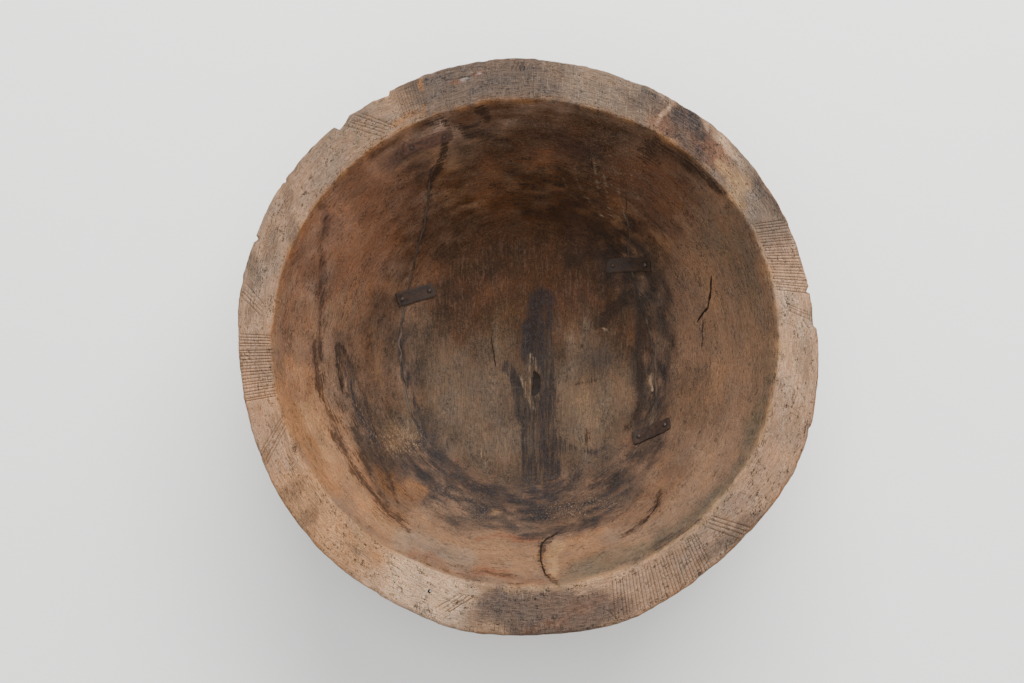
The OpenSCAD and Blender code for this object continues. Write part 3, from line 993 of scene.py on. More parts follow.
tint(GOLD, 0.25 * spots((-118, -72, 14, 9, -40, 0.7), (-104, -84, 9, 6, -40, 0.7)))
tint(RED_BROWN, 0.8 * brush([(-44, -171), (-18, -167), (10, -168)], 2, 3))
tint(RED_BROWN, 0.5 * brush([(-100, -182), (-60, -197), (-10, -206), (8, -207)], 3, 5))
tint(ORANGE, 0.55 * brush([(-208, -52), (-191, -92), (-166, -134)], 5, 7))
# painted shadow: a thin dark band just under the mouth's edge along the top, where the rim shades
# the wall
tint(
    DARK_WALL_AND_SHADOW,
    0.55 * brush([(-152, 148), (-130, 168), (-106, 184), (-62, 200), (0, 206), (60, 197)], 3, 7),
)
tint(
    LIGHT_WALL,
    0.8 * spots((142, -39, 3, 3, 0, 0.5), (157, 2, 2, 3, 0, 0.5), (171, -12, 3, 3, 0, 0.5)),
)
tint(GOLD, 0.7 * spots((115, -22, 2.5, 5, 0, 0.5), (-28, -142, 4, 3, 0, 0.5)))

relight((1.9, 2.1, 2.4), brush([(-74, 190), (-44, 198), (0, 206), (30, 206)], 8, 11))
relight((0.70, 0.68, 0.62), patch(16, 187, 44, 9))
relight((1.7, 1.8, 1.9), brush([(-128, 160), (-106, 176), (-84, 174)], 12, 16))
relight((1.6, 1.7, 1.8), patch(105, 180, 26, 14, -40))
relight((1.5, 1.4, 1.2), patch(-20, 156, 70, 18))
relight((1.7, 1.6, 1.35), brush([(66, 130), (90, 108), (112, 92)], 16, 14))
relight((1.3, 1.45, 1.5), patch(-22, 26, 16, 20))
relight((0.52, 0.50, 0.50), brush([(-133, 50), (-135, -10), (-131, -60), (-127, -112)], 18, 14))
relight((0.60, 0.56, 0.52), patch(90, 26, 17, 38))
relight(
    (0.70, 0.68, 0.68),
    brush([(-52, -108), (-24, -124), (10, -130), (44, -128), (76, -104), (90, -70)], 24, 18),
)
relight((0.72, 0.68, 0.66), brush([(18, -154), (50, -153), (92, -148), (128, -112)], 12, 14))
relight((0.66, 0.68, 0.68), brush([(-46, 72), (-78, 56), (-104, 30), (-112, 0)], 14, 14))
relight((1.30, 1.38, 1.50), brush([(-166, 118), (-184, 84), (-192, 50)], 14, 14))
relight((1.40, 1.45, 1.50), patch(-20, 138, 30, 14))
relight((1.04, 1.22, 1.45), brush([(-108, -166), (-84, -178), (-56, -186)], 8, 10))
relight((0.74, 0.70, 0.66), patch(-108, -134, 16, 14, -40))
relight((1.45, 1.30, 1.12), patch(-34, 187, 26, 9))
relight((0.86, 0.75, 0.64), patch(111, 25, 9, 18))
relight((0.72, 0.70, 0.70), brush([(-158, 24), (-156, -12)], 12, 14))
relight(
    (0.72, 0.72, 0.74), spots((-109, -94, 14, 18, 20), (129, -89, 16, 20, -30), (67, -19, 16, 14)),
)
relight((1.35, 1.40, 1.45), spots((-24, -20, 13, 36), (45, 26, 14, 14), (63, 202, 22, 8, -15)))
relight((0.68, 0.66, 0.64), patch(151, -45, 20, 28))
tint((0.250, 0.120, 0.058), 0.40 * patch(-138, -140, 26, 20, -45, 0.7))
tint((0.120, 0.056, 0.030), 0.45 * patch(-184, 70, 24, 40, -15, 0.7))

# The rim.
inner_paint = paint.copy()
paint[:] = TAN
tint(PINK_TAN, 0.75 * sector(2, 24, 10))
tint((0.292, 0.170, 0.100), 0.8 * sector(-36, 15, 10))
tint(PALE, 0.55 * sector(1, 9, 8))
tint(PINK_TAN, 0.5 * sector(-62, 10, 8))
tint((0.500, 0.320, 0.198), 0.9 * sector(239, 14, 8))
tint((0.345, 0.172, 0.078), 0.9 * sector(214, 18, 10))
tint(PINK_TAN, 0.6 * most(sector(186, 20, 8), sector(148, 12, 8)))
tint(GREY_TAN, 0.45 * most(sector(134, 9, 8), sector(162, 8, 6)))
tint(GREY_BROWN, 0.85 * sector(98, 15, 5))
tint(GREY_TAN, 0.8 * sector(72, 9, 6))
tint(GREY_BROWN, 0.7 * patch(105, 212, 22, 12, -30, 0.5))
tint(GREY_TAN, 0.85 * most(sector(33, 8, 6), patch(70, 216, 20, 8, -15, 0.5)))
tint(PURPLE, 0.95 * patch(140, 180, 42, 20, -42, 0.35))
tint(RED_BROWN, 0.6 * spots((117, 190, 12, 8, -40), (162, 165, 24, 9, -42)))
tint(
    PURPLE_DARK,
    0.9 * most(
        patch(130, 193, 7, 14, 20, 0.5), patch(146, 197, 18, 6, -40, 0.5),
        0.7 * patch(208, 124, 6, 24, 25, 0.5), patch(148, 182, 12, 7, -40, 0.5),
        0.6 * patch(140, 180, 30, 14, -42, 0.5),
    ),
)
tint(
    PALE,
    0.75 * spots(
        (178, 168, 4, 15, 42, 0.5), (156, 188, 7, 3, -60, 0.5), (119, 201, 3, 12, -30, 0.5),
    ),
)
tint(
    GOLD,
    0.85 * spots((184, 141, 8, 13, 40, 0.5), (180, 126, 5, 9, 30, 0.5), (171, 152, 6, 6, 30, 0.5)),
)
tint((0.112, 0.075, 0.057), 0.95 * patch(17, -232, 70, 21, 3, 0.25))
tint(RED_BROWN, 0.35 * spots((52, -224, 22, 8, 10), (30, -240, 40, 4, 5)))
tint(PURPLE, 0.40 * spots((184, -162, 22, 7, 48, 0.5), (160, -183, 20, 6, 40, 0.5)))
tint(GREY_TAN, 0.4 * sector(-47, 8, 8))
tint(
    RED_BROWN,
    0.8 * most(
        brush([(-65, 227), (-60, 229)], 2.5, 2, True),
        brush([(-46, 234), (-40, 237)], 2, 2, True),
    ),
)
# painted glints: the whitish specks in the scar on the rim, beside its red-brown marks
tint(
    (0.48, 0.40, 0.36),
    0.6 * most(
        brush([(-57, 230), (-53, 231)], 1.2, 1, True),
        brush([(-43, 235), (-41, 236)], 1.2, 1, True),
    ),
)
paint[:] = inner_paint + (paint - inner_paint) * rim[:, None]

# Worn edges: the wood shows orange and tan where hands rub it.
broken = 0.5 + 0.5 * layered_noise(x / 8, y / 11, seed=96)
warm_side = 0.30 + 0.70 * np.cos(deg(turn_between(phi, 150) / 2)) ** 4
mouth_wear = np.exp(-(((t - MOUTH_T + 0.5) / 4.0) ** 2)) * smooth(broken, 0.0, 0.6)
tint(ORANGE, 0.70 * mouth_wear * warm_side)
tint(GOLD, 0.75 * mouth_wear * (1 - warm_side) * (1 - 0.6 * sector(60, 35, 10)))
edge_wear = np.exp(-(((t - EDGE_T - 0.5) / 1.8) ** 2)) * smooth(broken, 0.1, 0.55)
for mask in (
    0.95 * edge_wear * most(sector(-12, 48, 12), 0.35 * sector(110, 60, 20)),
    0.9 * most(
        brush([(-95, 243), (-94, 232), (-92, 222)], 1.6, 1.5, True),
        brush([(-90, 206), (-88, 198)], 1.6, 1.6, True),
    ) * rim,
    0.8 * brush([(-114, 187), (-103, 193), (-90, 198)], 3, 3) * rim,
):
    tint(ORANGE, mask)
back_tone = 1 + 0.25 * layered_noise(x / 60, y / 90, z / 30, seed=97)
back = np.array(BACK) * back_tone[:, None]
paint += (back - paint) * outside[:, None]

# Uneven colour of the wood itself, drawn out along the grain.
broad = layered_noise(x / 16, y / 70, z / 16, seed=98)
small = layered_noise(x / 5.5, y / 26, z / 5.5, seed=99)
cloud = layered_noise(x / 24, y / 20, z / 20, seed=90)
paint *= np.array([0.905, 0.945, 0.985]) * (1 + 0.08 * broad + 0.10 * small + 0.10 * cloud)[:, None]
paint[:, 0] *= 1 + 0.05 * cloud
paint[:, 2] *= 1 - 0.07 * cloud

masks = {kind: np.zeros(len(x)) for kind in ("dark", "brown", "torn")}
for line, (_, _, edge, amount, kind) in zip(marks, MARKS):
    idx, d, width, _ = line.near(np.c_[x, y], MARK_REACH)
    drawn = amount * (1 - smooth(d, width * 0.5, width * 0.5 + edge))
    masks[kind][idx] = np.maximum(masks[kind][idx], drawn)
dark = most(
    masks["dark"],
    # the stain down the middle of the floor, split by torn wood round the knot
    1.1 * brush([(14, 53), (15, 34), (12, 20)], 20, 6, True),
    1.1 * brush([(10, 22), (11, 6)], 25, 6, True),
    0.86 * brush([(20, 4), (20, -20), (19, -46)], 9, 6, True),
    1.0 * brush([(-18, -8), (-11, -20), (-6, -36), (-3, -56)], 6, 5, True),
    0.95 * brush([(3, -46), (3, -75), (2, -98)], 13, 6, True),
    0.90 * brush([(2, -96), (0, -116), (4, -134)], 10, 12, True),
    0.85 * patch(-8, -127, 18, 13),
    0.86 * brush([(17, -46), (18, -75), (21, -96)], 13, 7, True),
    0.90 * brush([(21, -96), (24, -112), (21, -134)], 9, 11, True),
    0.9 * patch(31, -86, 8, 7, 0, 0.5),
    # the ring of dirt where the floor meets the wall
    0.66 * brush(
        [(-97, -86), (-82, -106), (-56, -124), (-30, -134), (3, -138), (40, -140), (64, -134)],
        13, 16,
    ),
    0.22 * brush([(64, -134), (82, -120), (96, -102)], 8, 16),
    0.55 * brush([(-98, -104), (-70, -136), (-20, -152), (30, -154), (70, -144)], 14, 20),
    0.62 * patch(26, -136, 50, 16),
    0.62 * brush([(-96, -70), (-84, -96), (-64, -112), (-24, -120), (4, -122)], 2, 7),
    0.24 * brush([(112, 60), (117, 20), (117, -16), (111, -54), (100, -88)], 14, 18),
    0.28 * patch(68, -8, 20, 15, -25, 0.8),
)
# brownish stains; the mark along the mouth's edge at upper right among them is a painted shadow
brown = most(
    masks["brown"],
    0.85 * spots((-78, 190, 10, 4, 0, 0.5), (-52, 192, 14, 4, -8, 0.5), (-41, 203, 6, 4, 0, 0.5)),
    0.8 * patch(110, 166, 13, 8, -35),
    0.62 * spots((60, 112, 10, 22), (94, 108, 8, 14), (54, 88, 20, 7), (78, 94, 24, 14)),
    0.45 * patch(20, 150, 60, 26, 0, 0.8),
    0.40 * brush([(96, 76), (112, 50), (118, 20), (117, -16), (111, -54)], 18, 18),
    0.35 * brush([(-176, -30), (-160, -70), (-140, -108), (-118, -134)], 22, 14),
)


def broken_up(mask, seed):
    """The same mask, patchier where it is thin."""
    uneven = ragged + 0.5 * layered_noise(x / 14, y / 24, z / 14, seed=seed)
    return np.clip(
        mask * (1 + 0.16 * uneven) + 1.1 * mask * (1 - np.minimum(mask, 1)) * uneven, 0, 1.2,
    )


dark = broken_up(dark, 89) * (1 - rim) * (1 - outside)
brown = broken_up(brown, 86) * (1 - rim) * (1 - outside)
soil = most(
    weighted([
        (1.15, -207, 128, 7, 14), (1.15, -202, 102, 6, 15), (1.2, -224, 88, 7, 17),
        (1.1, -236, 62, 6, 17), (1.0, -240, 22, 4, 14), (0.9, -200, 158, 6, 10),
        (1.15, -200, -126, 8, 14, -20), (1.1, -186, -153, 7, 12, -35), (0.8, -222, -96, 5, 10, -15),
        (0.9, -146, -178, 12, 5, -35), (0.8, -214, -30, 5, 10), (1.1, 184, -162, 24, 7, 48, 0.5),
        (1.1, 158, -186, 20, 6, 40, 0.5), (0.8, 236, -20, 6, 18), (0.6, 240, 22, 4, 12),
        (0.8, 208, 124, 7, 26, 25, 0.5), (1.05, 104, 214, 24, 10, -30, 0.5),
        (1.0, 62, 224, 16, 7, -10),
        (0.6, 140, 184, 40, 18, -42, 0.5),
    ]),
    inside * weighted([
        (0.35, -140, 150, 40, 30, 40), (0.48, 0, 170, 120, 40), (0.32, 0, -10, 100, 110, 0, 0.5),
    ]),
    rim * most(
        0.85 * sector(100, 16, 5), 0.55 * sector(137, 10, 6), 0.62 * sector(33, 10, 6),
        0.62 * sector(75, 12, 6), 0.35 * sector(-52, 8, 6),
    ),
    0.6 * brush([(-217, -60), (-205, -95), (-184, -130)], 2, 5),
    0.75 * rim * patch(17, -232, 70, 21, 3, 0.25),
    0.30 * inside,
    0.34 * rim,
)
fleck = most(
    weighted([
        (0.7, 80, 170, 36, 30, -30), (0.4, -30, 180, 60, 20), (0.5, 20, 196, 60, 10),
        (1.0, -112, -76, 18, 16, -30), (0.9, 44, -140, 36, 12, 10), (0.55, -60, -138, 46, 14, -20),
        (0.7, -140, -70, 8, 20, 25), (0.9, 186, -172, 12, 8, 30), (0.8, 76, -220, 10, 14),
    ]),
    rim * most(0.5 * sector(235, 20, 8), 0.6 * sector(75, 14, 6)),
    0.9 * rim * brush([(-56, -213), (-33, -215)], 3, 3),
    1.0 * rim * brush([(-26, -215), (20, -216)], 4, 3),
    0.25 * rim,
)
pores = most(
    0.18 * rim, 0.40 * rim * sector(238, 22, 8), 0.36 * rim * sector(-20, 36, 10), 0.16 * inside,
)


def store(name, kind, field, values):
    """Keeps one row of values for each point of the bowl under a name that its material reads."""
    attribute = bowl.data.attributes.new(name, kind, "POINT")
    attribute.data.foreach_set(field, values.astype(np.float32).ravel())


for name, values in {
    **worked, "dark": dark, "brown": brown, "torn": masks["torn"], "fleck": fleck,
    "pores": pores, "soil": soil, "ringwise": ringwise, "rim": rim,
}.items():
    store(name, "FLOAT", "value", values)
store("paint", "FLOAT_COLOR", "color", np.c_[np.clip(paint, 0.005, 1), np.ones(len(x))])
# Wall and rim wear along circles: this gives places there as distance along the section, then
# direction.
around = np.c_[t * MM, 0.2 * np.cos(deg(phi)), 0.2 * np.sin(deg(phi))]
store("around", "FLOAT_VECTOR", "vector", around)

# ---------------------------------------------------------------- straps, nails and pitch


def ground(x, y):
    """Point of the inside straight below a place, with the slow unevenness of the wood."""
    t, phi = under(x, y)
    p = place(t, phi)
    return place(t, phi, slow_relief(p[..., 0], p[..., 1]))


def normals(x, y):
    """Direction out of the wood at places on the inside."""
    x, y = np.atleast_1d(x), np.atleast_1d(y)
    a, b, c = ground(x, y), ground(x + 1, y), ground(x, y + 1)
    n = np.cross(b - a, c - a)
    return n / np.linalg.norm(n, axis=-1, keepdims=True)


def drop(points, n):
    """Slides points along n until they lie on the inside of the bowl."""
    points = points.copy()
    for _ in range(8):
        below = ground(points[:, 0], points[:, 1])
        points += ((below[:, 2] - points[:, 2]) * n[2])[:, None] * n
    return points


def head_place(centre):
    """Where the nail whose middle is at centre comes out of the wood."""
    n = normals(centre[0], centre[1])[0]
    return drop(np.array([centre + n * 5]), n)[0]


def slab_faces(rows, cols):
    """Faces of a closed slab: a grid of rows by cols cells on top, one below it, and its border."""
    w = cols + 1
    below = (rows + 1) * w
    faces = []
    for j in range(rows):
        for i in range(cols):
            q = [j * w + i, j * w + i + 1, (j + 1) * w + i + 1, (j + 1) * w + i]
            faces.append(q)
            faces.append([below + k for k in q[::-1]])
    loop = list(range(w)) + [j * w + cols for j in range(1, rows + 1)]
    loop += (
        [rows * w + i for i in range(cols - 1, -1, -1)] + [j * w for j in range(rows - 1, 0, -1)]
    )
    for k, m in zip(loop, loop[1:] + loop[:1]):
        faces.append([m, k, below + k, below + m])
    return faces


# Sizes of the straps, and how many cells their meshes have across and along.
STRAP_LENGTH = {"upper_left": 46, "left": 37, "right": 43, "lower_right": 40}
STRAP_WIDTH, STRAP_THICK = 13, 1.1
STRAP_CELLS = (18, 46)


def build_strap(name):
    """A hammered strip of sheet iron that follows the wood, with its two nails."""
    seed = len(name)
    a, b = (head_place(end) for end in STRAP_ENDS[name])
    middle = (a + b) / 2
    n = normals(middle[0], middle[1])[0]
    along = (b - a) - n * np.dot(b - a, n)
    along /= np.linalg.norm(along)
    across = np.cross(n, along)
    length, (rows, cols) = STRAP_LENGTH[name], STRAP_CELLS
    grid = []
    for j in range(rows + 1):
        for i in range(cols + 1):
            u, v = (i / cols - 0.5), (j / rows - 0.5)
            # ends and sides cut by hand, corners slightly rounded
            corner = max(0, abs(u) * 2 - 0.86) / 0.14 * max(0, abs(v) * 2 - 0.62) / 0.38
            du = u * length * (1 - 0.03 * corner) + 0.5 * value_noise(v * 4, seed, seed=61)
            uneven = 0.35 * value_noise(u * 6, seed, seed=62) * (1 if abs(v) > 0.3 else 0.5)
            dv = v * STRAP_WIDTH * (1 - 0.10 * corner) + uneven
            grid.append(middle + along * du + across * dv)
    grid = drop(np.array(grid), n)
    local_n = normals(grid[:, 0], grid[:, 1])
    u = (grid - middle) @ along
    v = (grid - middle) @ across
    ripple = 0.22 * layered_noise(u / 6 + seed, v / 6, seed=63)
    # the sheet is beaten down round its nails and along its border
    for p in (a, b):
        ripple -= 0.35 * np.exp(-((u - np.dot(p - middle, along)) ** 2 + v**2) / 9)
    border = np.maximum(np.abs(u) / (length / 2), np.abs(v) / (STRAP_WIDTH / 2))
    ripple -= 0.45 * smooth(border, 0.86, 1.02)
    top = grid + local_n * (STRAP_THICK + 0.25 + ripple)[:, None]
    bottom = grid - local_n * 0.9
    strap = make_mesh(f"iron_strap_{name}", np.vstack([top, bottom]), slab_faces(rows, cols))
    soften(strap, 50)
    nails = [
        build_nail(f"iron_nail_{name}_{end}", p, normals(p[0], p[1])[0], seed * 2 + i)
        for i, (end, p) in enumerate(zip("ab", (a, b)))
    ]
    return strap, nails


# Height over the wood at which a nail's head starts, and its section from the middle of the head
# out and under it: [radius, height]. Then its shank: [height, half width].
HEAD_FROM = 1.5
HEAD_TOP = 1.35
HEAD = [(0.55, 1.3), (1.05, 1.1), (1.5, 0.8), (1.85, 0.4), (2.1, 0.05), (2.05, -0.25), (1.1, -0.35)]
SHANK = [(-1.0, 0.9), (-8.4, 0.75), (-10.6, 0.12)]
NAIL_TIP = -10.8
NAIL_SIDES = 20


def build_nail(name, foot, n, seed):
    """A forged nail: an uneven domed head over a square tapering shank."""
    e1 = np.cross(np.array([0.0, 1.0, 0.0]), n)
    e1 /= np.linalg.norm(e1)
    e2 = np.cross(n, e1)
    turns = [2 * math.pi * k / NAIL_SIDES for k in range(NAIL_SIDES)]

    def spot(r, a, h):
        return foot + e1 * r * math.cos(a) + e2 * r * math.sin(a) + n * (HEAD_FROM + h)

    points = [spot(0, 0, HEAD_TOP)]
    for r, h in HEAD:
        for a in turns:
            bulge = 0.10 * float(value_noise(math.cos(a) * 1.5 + seed, math.sin(a) * 1.5, seed=71))
            dint = 0.12 * float(value_noise(r + seed, a * 0.8, seed=72)) * (h > 0)
            points.append(spot(r * (1 + bulge), a, h + dint))
    for h, half in SHANK:
        for a in turns:
            square = 1 / max(abs(math.cos(a)), abs(math.sin(a)))
            points.append(spot(half * min(square, 1.25), a, h))
    points.append(spot(0, 0, NAIL_TIP))
    rings = len(HEAD) + len(SHANK)
    last = 1 + (rings - 1) * NAIL_SIDES
    faces = []
    for k in range(NAIL_SIDES):
        m = (k + 1) % NAIL_SIDES
        faces.append([0, 1 + k, 1 + m])
        for ring in range(rings - 1):
            p, q = 1 + ring * NAIL_SIDES, 1 + (ring + 1) * NAIL_SIDES
            faces.append([p + k, q + k, q + m, p + m])
        faces.append([len(points) - 1, last + m, last + k])
    nail = make_mesh(name, points, faces)
    soften(nail, 60)
    return nail


# Where the rows of points of a pitch strip lie, in widths of its crack, and how deep it reaches.
PITCH_OFFSETS = (-0.40, -0.2, 0, 0.2, 0.40)
PITCH_DEPTH = 3.4


def build_pitch(name, line):
    """Pitch pressed into a crack: a lumpy strip that lies a little under the wood's surface."""
    rows_top, rows_low = [], []
    for off in PITCH_OFFSETS:
        p = line.xy + line.side * (off * line.width)[:, None]
        on, n = ground(p[:, 0], p[:, 1]), normals(p[:, 0], p[:, 1])
        lumps = 0.15 * layered_noise(p[:, 0] / 3, p[:, 1] / 3, seed=81)
        sink = 0.60 + lumps + (abs(off) > 0.3) * 0.2
        rows_top.append(on - n * np.minimum(sink, line.depth + 0.1)[:, None])
        rows_low.append(on - n * PITCH_DEPTH)
    top, low = (np.stack(rows, 1).reshape(-1, 3) for rows in (rows_top, rows_low))
    faces = [face[::-1] for face in slab_faces(len(line.xy) - 1, len(PITCH_OFFSETS) - 1)]
    strip = make_mesh(name, np.vstack([top, low]), faces)
    soften(strip, 60)
    return strip


straps, nails = {}, {}
for name in STRAP_ENDS:
    straps[name], pair = build_strap(name)
    for end, nail in zip("ab", pair):
        nails[f"{name}_{end}"] = nail
pitch = {
    "pitch_left_crack": build_pitch("pitch_seam_left", pitched[0]),
    "pitch_right_crack": build_pitch("pitch_seam_right", pitched[1]),
}

# ---------------------------------------------------------------- materials


class Shader:
    """A small wrapper that adds and links shader nodes."""

    def __init__(self, name):
        self.material = bpy.data.materials.new(name)
        self.material.use_nodes = True
        self.tree = self.material.node_tree
        self.tree.nodes.clear()
        self.surface = self.node("ShaderNodeBsdfPrincipled")
        out = self.node("ShaderNodeOutputMaterial")
        self.tree.links.new(self.surface.outputs["BSDF"], out.inputs["Surface"])
        self.place = self.node("ShaderNodeTexCoord").outputs["Object"]

    def node(self, kind, **settings):
        made = self.tree.nodes.new(kind)
        for key, value in settings.items():
            setattr(made, key, value)
        return made

    def put(self, socket, value):
        if isinstance(value, bpy.types.NodeSocket):
            self.tree.links.new(value, socket)
        elif isinstance(value, tuple):
            socket.default_value = (*value, 1)
        else:
            socket.default_value = value

    def mask(self, name):
        return self.node("ShaderNodeAttribute", attribute_name=name).outputs["Fac"]

    def math(self, operation, a, b):
        n = self.node("ShaderNodeMath", operation=operation)
        self.put(n.inputs[0], a)
        self.put(n.inputs[1], b)
        return n.outputs[0]

    def times(self, a, b):
        return self.math("MULTIPLY", a, b)

    def filtered(self, colour, factor):
        """The colour multiplied by another one."""
        return self.mix(1.0, colour, factor, "MULTIPLY")

    def stretched(self, place, scale):
        n = self.node("ShaderNodeVectorMath", operation="MULTIPLY")
        self.put(n.inputs[0], place)
        n.inputs[1].default_value = scale
        return n.outputs[0]

    def noise(self, scale, detail, rough, twist=0.0, place=None):
        """Noise from 0 to 1; scale is cells per metre, one number or one for each axis."""
        n = self.node("ShaderNodeTexNoise")
        place = place or self.place
        if isinstance(scale, tuple):
            self.put(n.inputs["Vector"], self.stretched(place, scale))
            n.inputs["Scale"].default_value = 1
        else:
            self.put(n.inputs["Vector"], place)
            n.inputs["Scale"].default_value = scale
        n.inputs["Detail"].default_value = detail
        n.inputs["Roughness"].default_value = rough
        n.inputs["Distortion"].default_value = twist
        return n.outputs["Fac"]

    def step(self, value, low, high, out_low=0.0, out_high=1.0):
        """A soft step from out_low, where the value is at most low, to out_high from high on."""
        n = self.node("ShaderNodeMapRange", interpolation_type="SMOOTHSTEP")
        self.put(n.inputs["Value"], value)
        limits = {"From Min": low, "From Max": high, "To Min": out_low, "To Max": out_high}
        for key, number in limits.items():
            n.inputs[key].default_value = number
        return n.outputs["Result"]

    def between(self, n, part, a, b):
        """Links a mix node."""
        self.put(n.inputs["Factor"], part)
        self.put(n.inputs["A"], a)
        self.put(n.inputs["B"], b)
        return n.outputs["Result"]

    def mix(self, part, a, b, blend="MIX"):
        return self.between(
            self.node("ShaderNodeMix", data_type="RGBA", blend_type=blend), part, a, b,
        )

    def blend(self, part, a, b):
        return self.between(self.node("ShaderNodeMix", data_type="FLOAT"), part, a, b)

    def bump(self, height, distance, strength):
        n = self.node("ShaderNodeBump")
        self.put(n.inputs["Height"], height)
        n.inputs["Distance"].default_value = distance
        n.inputs["Strength"].default_value = strength
        return n.outputs["Normal"]

    def finish(self, colour, rough, normal, **sockets):
        self.put(self.surface.inputs["Base Color"], colour)
        self.put(self.surface.inputs["Roughness"], rough)
        self.put(self.surface.inputs["Normal"], normal)
        for key, value in sockets.items():
            self.surface.inputs[key.replace("_", " ")].default_value = value
        return self.material


def wood_material():
    s = Shader("old_wood")

    around = s.node("ShaderNodeAttribute", attribute_name="around").outputs["Vector"]
    ringwise = s.mask("ringwise")

    def grain(across, along, turned_across, turned_along, detail, rough, twist=0.0):
        """Streaks along the log on the floor and outside, and round the bowl on wall and rim."""
        straight = s.noise((across, along, across), detail, rough, twist)
        turned = s.noise((turned_across, turned_along, turned_along), detail, rough, twist, around)
        return s.blend(ringwise, straight, turned)

    fibre = s.step(grain(430, 22, 520, 36, 5, 0.65, 0.5), 0.36, 0.64)
    fine = s.step(grain(1200, 110, 1300, 170, 4, 0.65), 0.38, 0.62)
    broad = s.step(grain(90, 14, 120, 12, 4, 0.6, 0.8), 0.30, 0.70)
    blotch = s.step(s.noise((75, 48, 75), 5, 0.68, 0.6), 0.36, 0.64)
    mottle = s.step(s.noise((430, 260, 430), 5, 0.72), 0.38, 0.62)
    grit = s.step(s.noise((1150, 800, 1150), 3, 0.65), 0.36, 0.64)
    scratch = s.noise((950, 85, 950), 3, 0.6, 0.3)
    dashes = grain(1500, 380, 1500, 420, 3, 0.6)

    def total(*parts):
        out = parts[0]
        for part in parts[1:]:
            out = s.math("ADD", out, part)
        return out

    def cover(mask, noise, soft=0.45):
        """Breaks a mask up: it is taken as how densely the stain lies."""
        gap = s.times(s.math("SUBTRACT", 1.0, noise), 0.9)
        return s.step(s.math("SUBTRACT", mask, gap), -0.02, soft)

    def shade(colour, value):
        grey = s.node("ShaderNodeCombineColor")
        for key in ("Red", "Green", "Blue"):
            s.put(grey.inputs[key], value)
        return s.filtered(colour, grey.outputs[0])

    colour = s.node("ShaderNodeAttribute", attribute_name="paint").outputs["Color"]
    colour = s.mix(s.times(blotch, 0.50), colour, s.filtered(colour, (1.14, 0.95, 0.80)))
    colour = s.mix(s.times(broad, 0.42), colour, s.filtered(colour, (0.80, 0.85, 0.90)))
    streaks = s.times(s.math("SUBTRACT", fibre, 0.5), s.blend(ringwise, 0.10, 0.32))
    weights = ((fine, 0.25), (blotch, 0.24), (mottle, 0.40), (grit, 0.44))
    change = total(
        streaks, *(s.times(s.math("SUBTRACT", noise, 0.5), weight) for noise, weight in weights),
    )
    tone = total(1.0, s.times(change, s.blend(s.mask("rim"), 1.15, 1.6)))
    colour = shade(colour, tone)
    weights = ((fibre, 0.36), (mottle, 0.26), (blotch, 0.20), (grit, 0.18))
    streaky = s.step(total(*(s.times(noise, weight) for noise, weight in weights)), 0.26, 0.74)

    # soil, stains and torn wood, each broken up along the grain; the brownish stains carry one
    # painted shadow and the torn wood one painted highlight
    soil = s.times(cover(s.mask("soil"), streaky), 0.62)
    colour = s.mix(soil, colour, s.mix(fine, (0.036, 0.024, 0.017), (0.092, 0.062, 0.044)))
    stain_and_shadow_base = s.filtered(colour, (0.30, 0.28, 0.28))
    brown = s.mix(0.45, s.mix(grit, (0.008, 0.005, 0.003), (0.046, 0.028, 0.018)), stain_and_shadow_base)
    colour = s.mix(s.times(cover(s.mask("brown"), streaky), 0.90), colour, brown)
    black = s.mix(s.times(mottle, grit), (0.010, 0.009, 0.011), (0.056, 0.047, 0.045))
    cold = s.mix(0.35, black, stain_and_shadow_base)
    colour = s.mix(s.times(cover(s.mask("dark"), streaky, 0.55), 0.92), colour, cold)
    pale_wood_and_highlight = shade((0.165, 0.115, 0.075), tone)
    colour = s.mix(s.times(cover(s.mask("torn"), fibre, 0.8), 0.92), colour, pale_wood_and_highlight)

    # light chips and scratches, pores, and the dark of cuts and cracks
    chips = s.step(s.noise((620, 420, 620), 4, 0.7, 0.8), 0.60, 0.66)
    light = s.times(s.math("MAXIMUM", s.step(scratch, 0.56, 0.66), chips), s.mask("fleck"))
    colour = s.mix(s.times(light, 0.70), colour, s.mix(0.50, colour, (0.42, 0.29, 0.19)))
    hollow = s.times(s.step(dashes, 0.55, 0.66), s.mask("pores"))
    colour = s.mix(s.times(hollow, 0.52), colour, (0.050, 0.030, 0.020))
    cut = s.times(s.step(s.mask("cut"), 0.15, 0.75), 0.54)
    colour = s.mix(cut, colour, (0.045, 0.026, 0.017))
    crack = s.times(s.step(s.mask("crack"), 0.1, 0.6), 0.90)
    colour = s.mix(crack, colour, (0.012, 0.009, 0.008))

    rough = s.step(total(blotch, s.times(mottle, 0.6)), 0.2, 1.4, 0.48, 0.76)
    height = total(*(s.times(noise, 0.32) for noise in (fibre, fine, mottle, grit)))
    height = s.math("SUBTRACT", height, s.times(hollow, 0.6))
    return s.finish(colour, rough, s.bump(height, 0.0005, 0.95), Specular_IOR_Level=0.14)


def iron_material(name, dark, light, rust, shine):
    s = Shader(name)
    patchy = s.noise(260, 5, 0.65, 0.5)
    grit = s.noise(1600, 4, 0.7)
    colour = s.mix(s.step(patchy, 0.35, 0.65), dark, rust)
    colour = s.mix(s.times(s.step(grit, 0.5, 0.75), 0.6), colour, light)
    rough = s.step(patchy, 0.3, 0.7, shine, shine + 0.22)
    normal = s.bump(s.math("ADD", s.times(patchy, 0.7), s.times(grit, 0.35)), 0.0004, 0.9)
    return s.finish(colour, rough, normal, Metallic=0.12, Specular_IOR_Level=0.30)


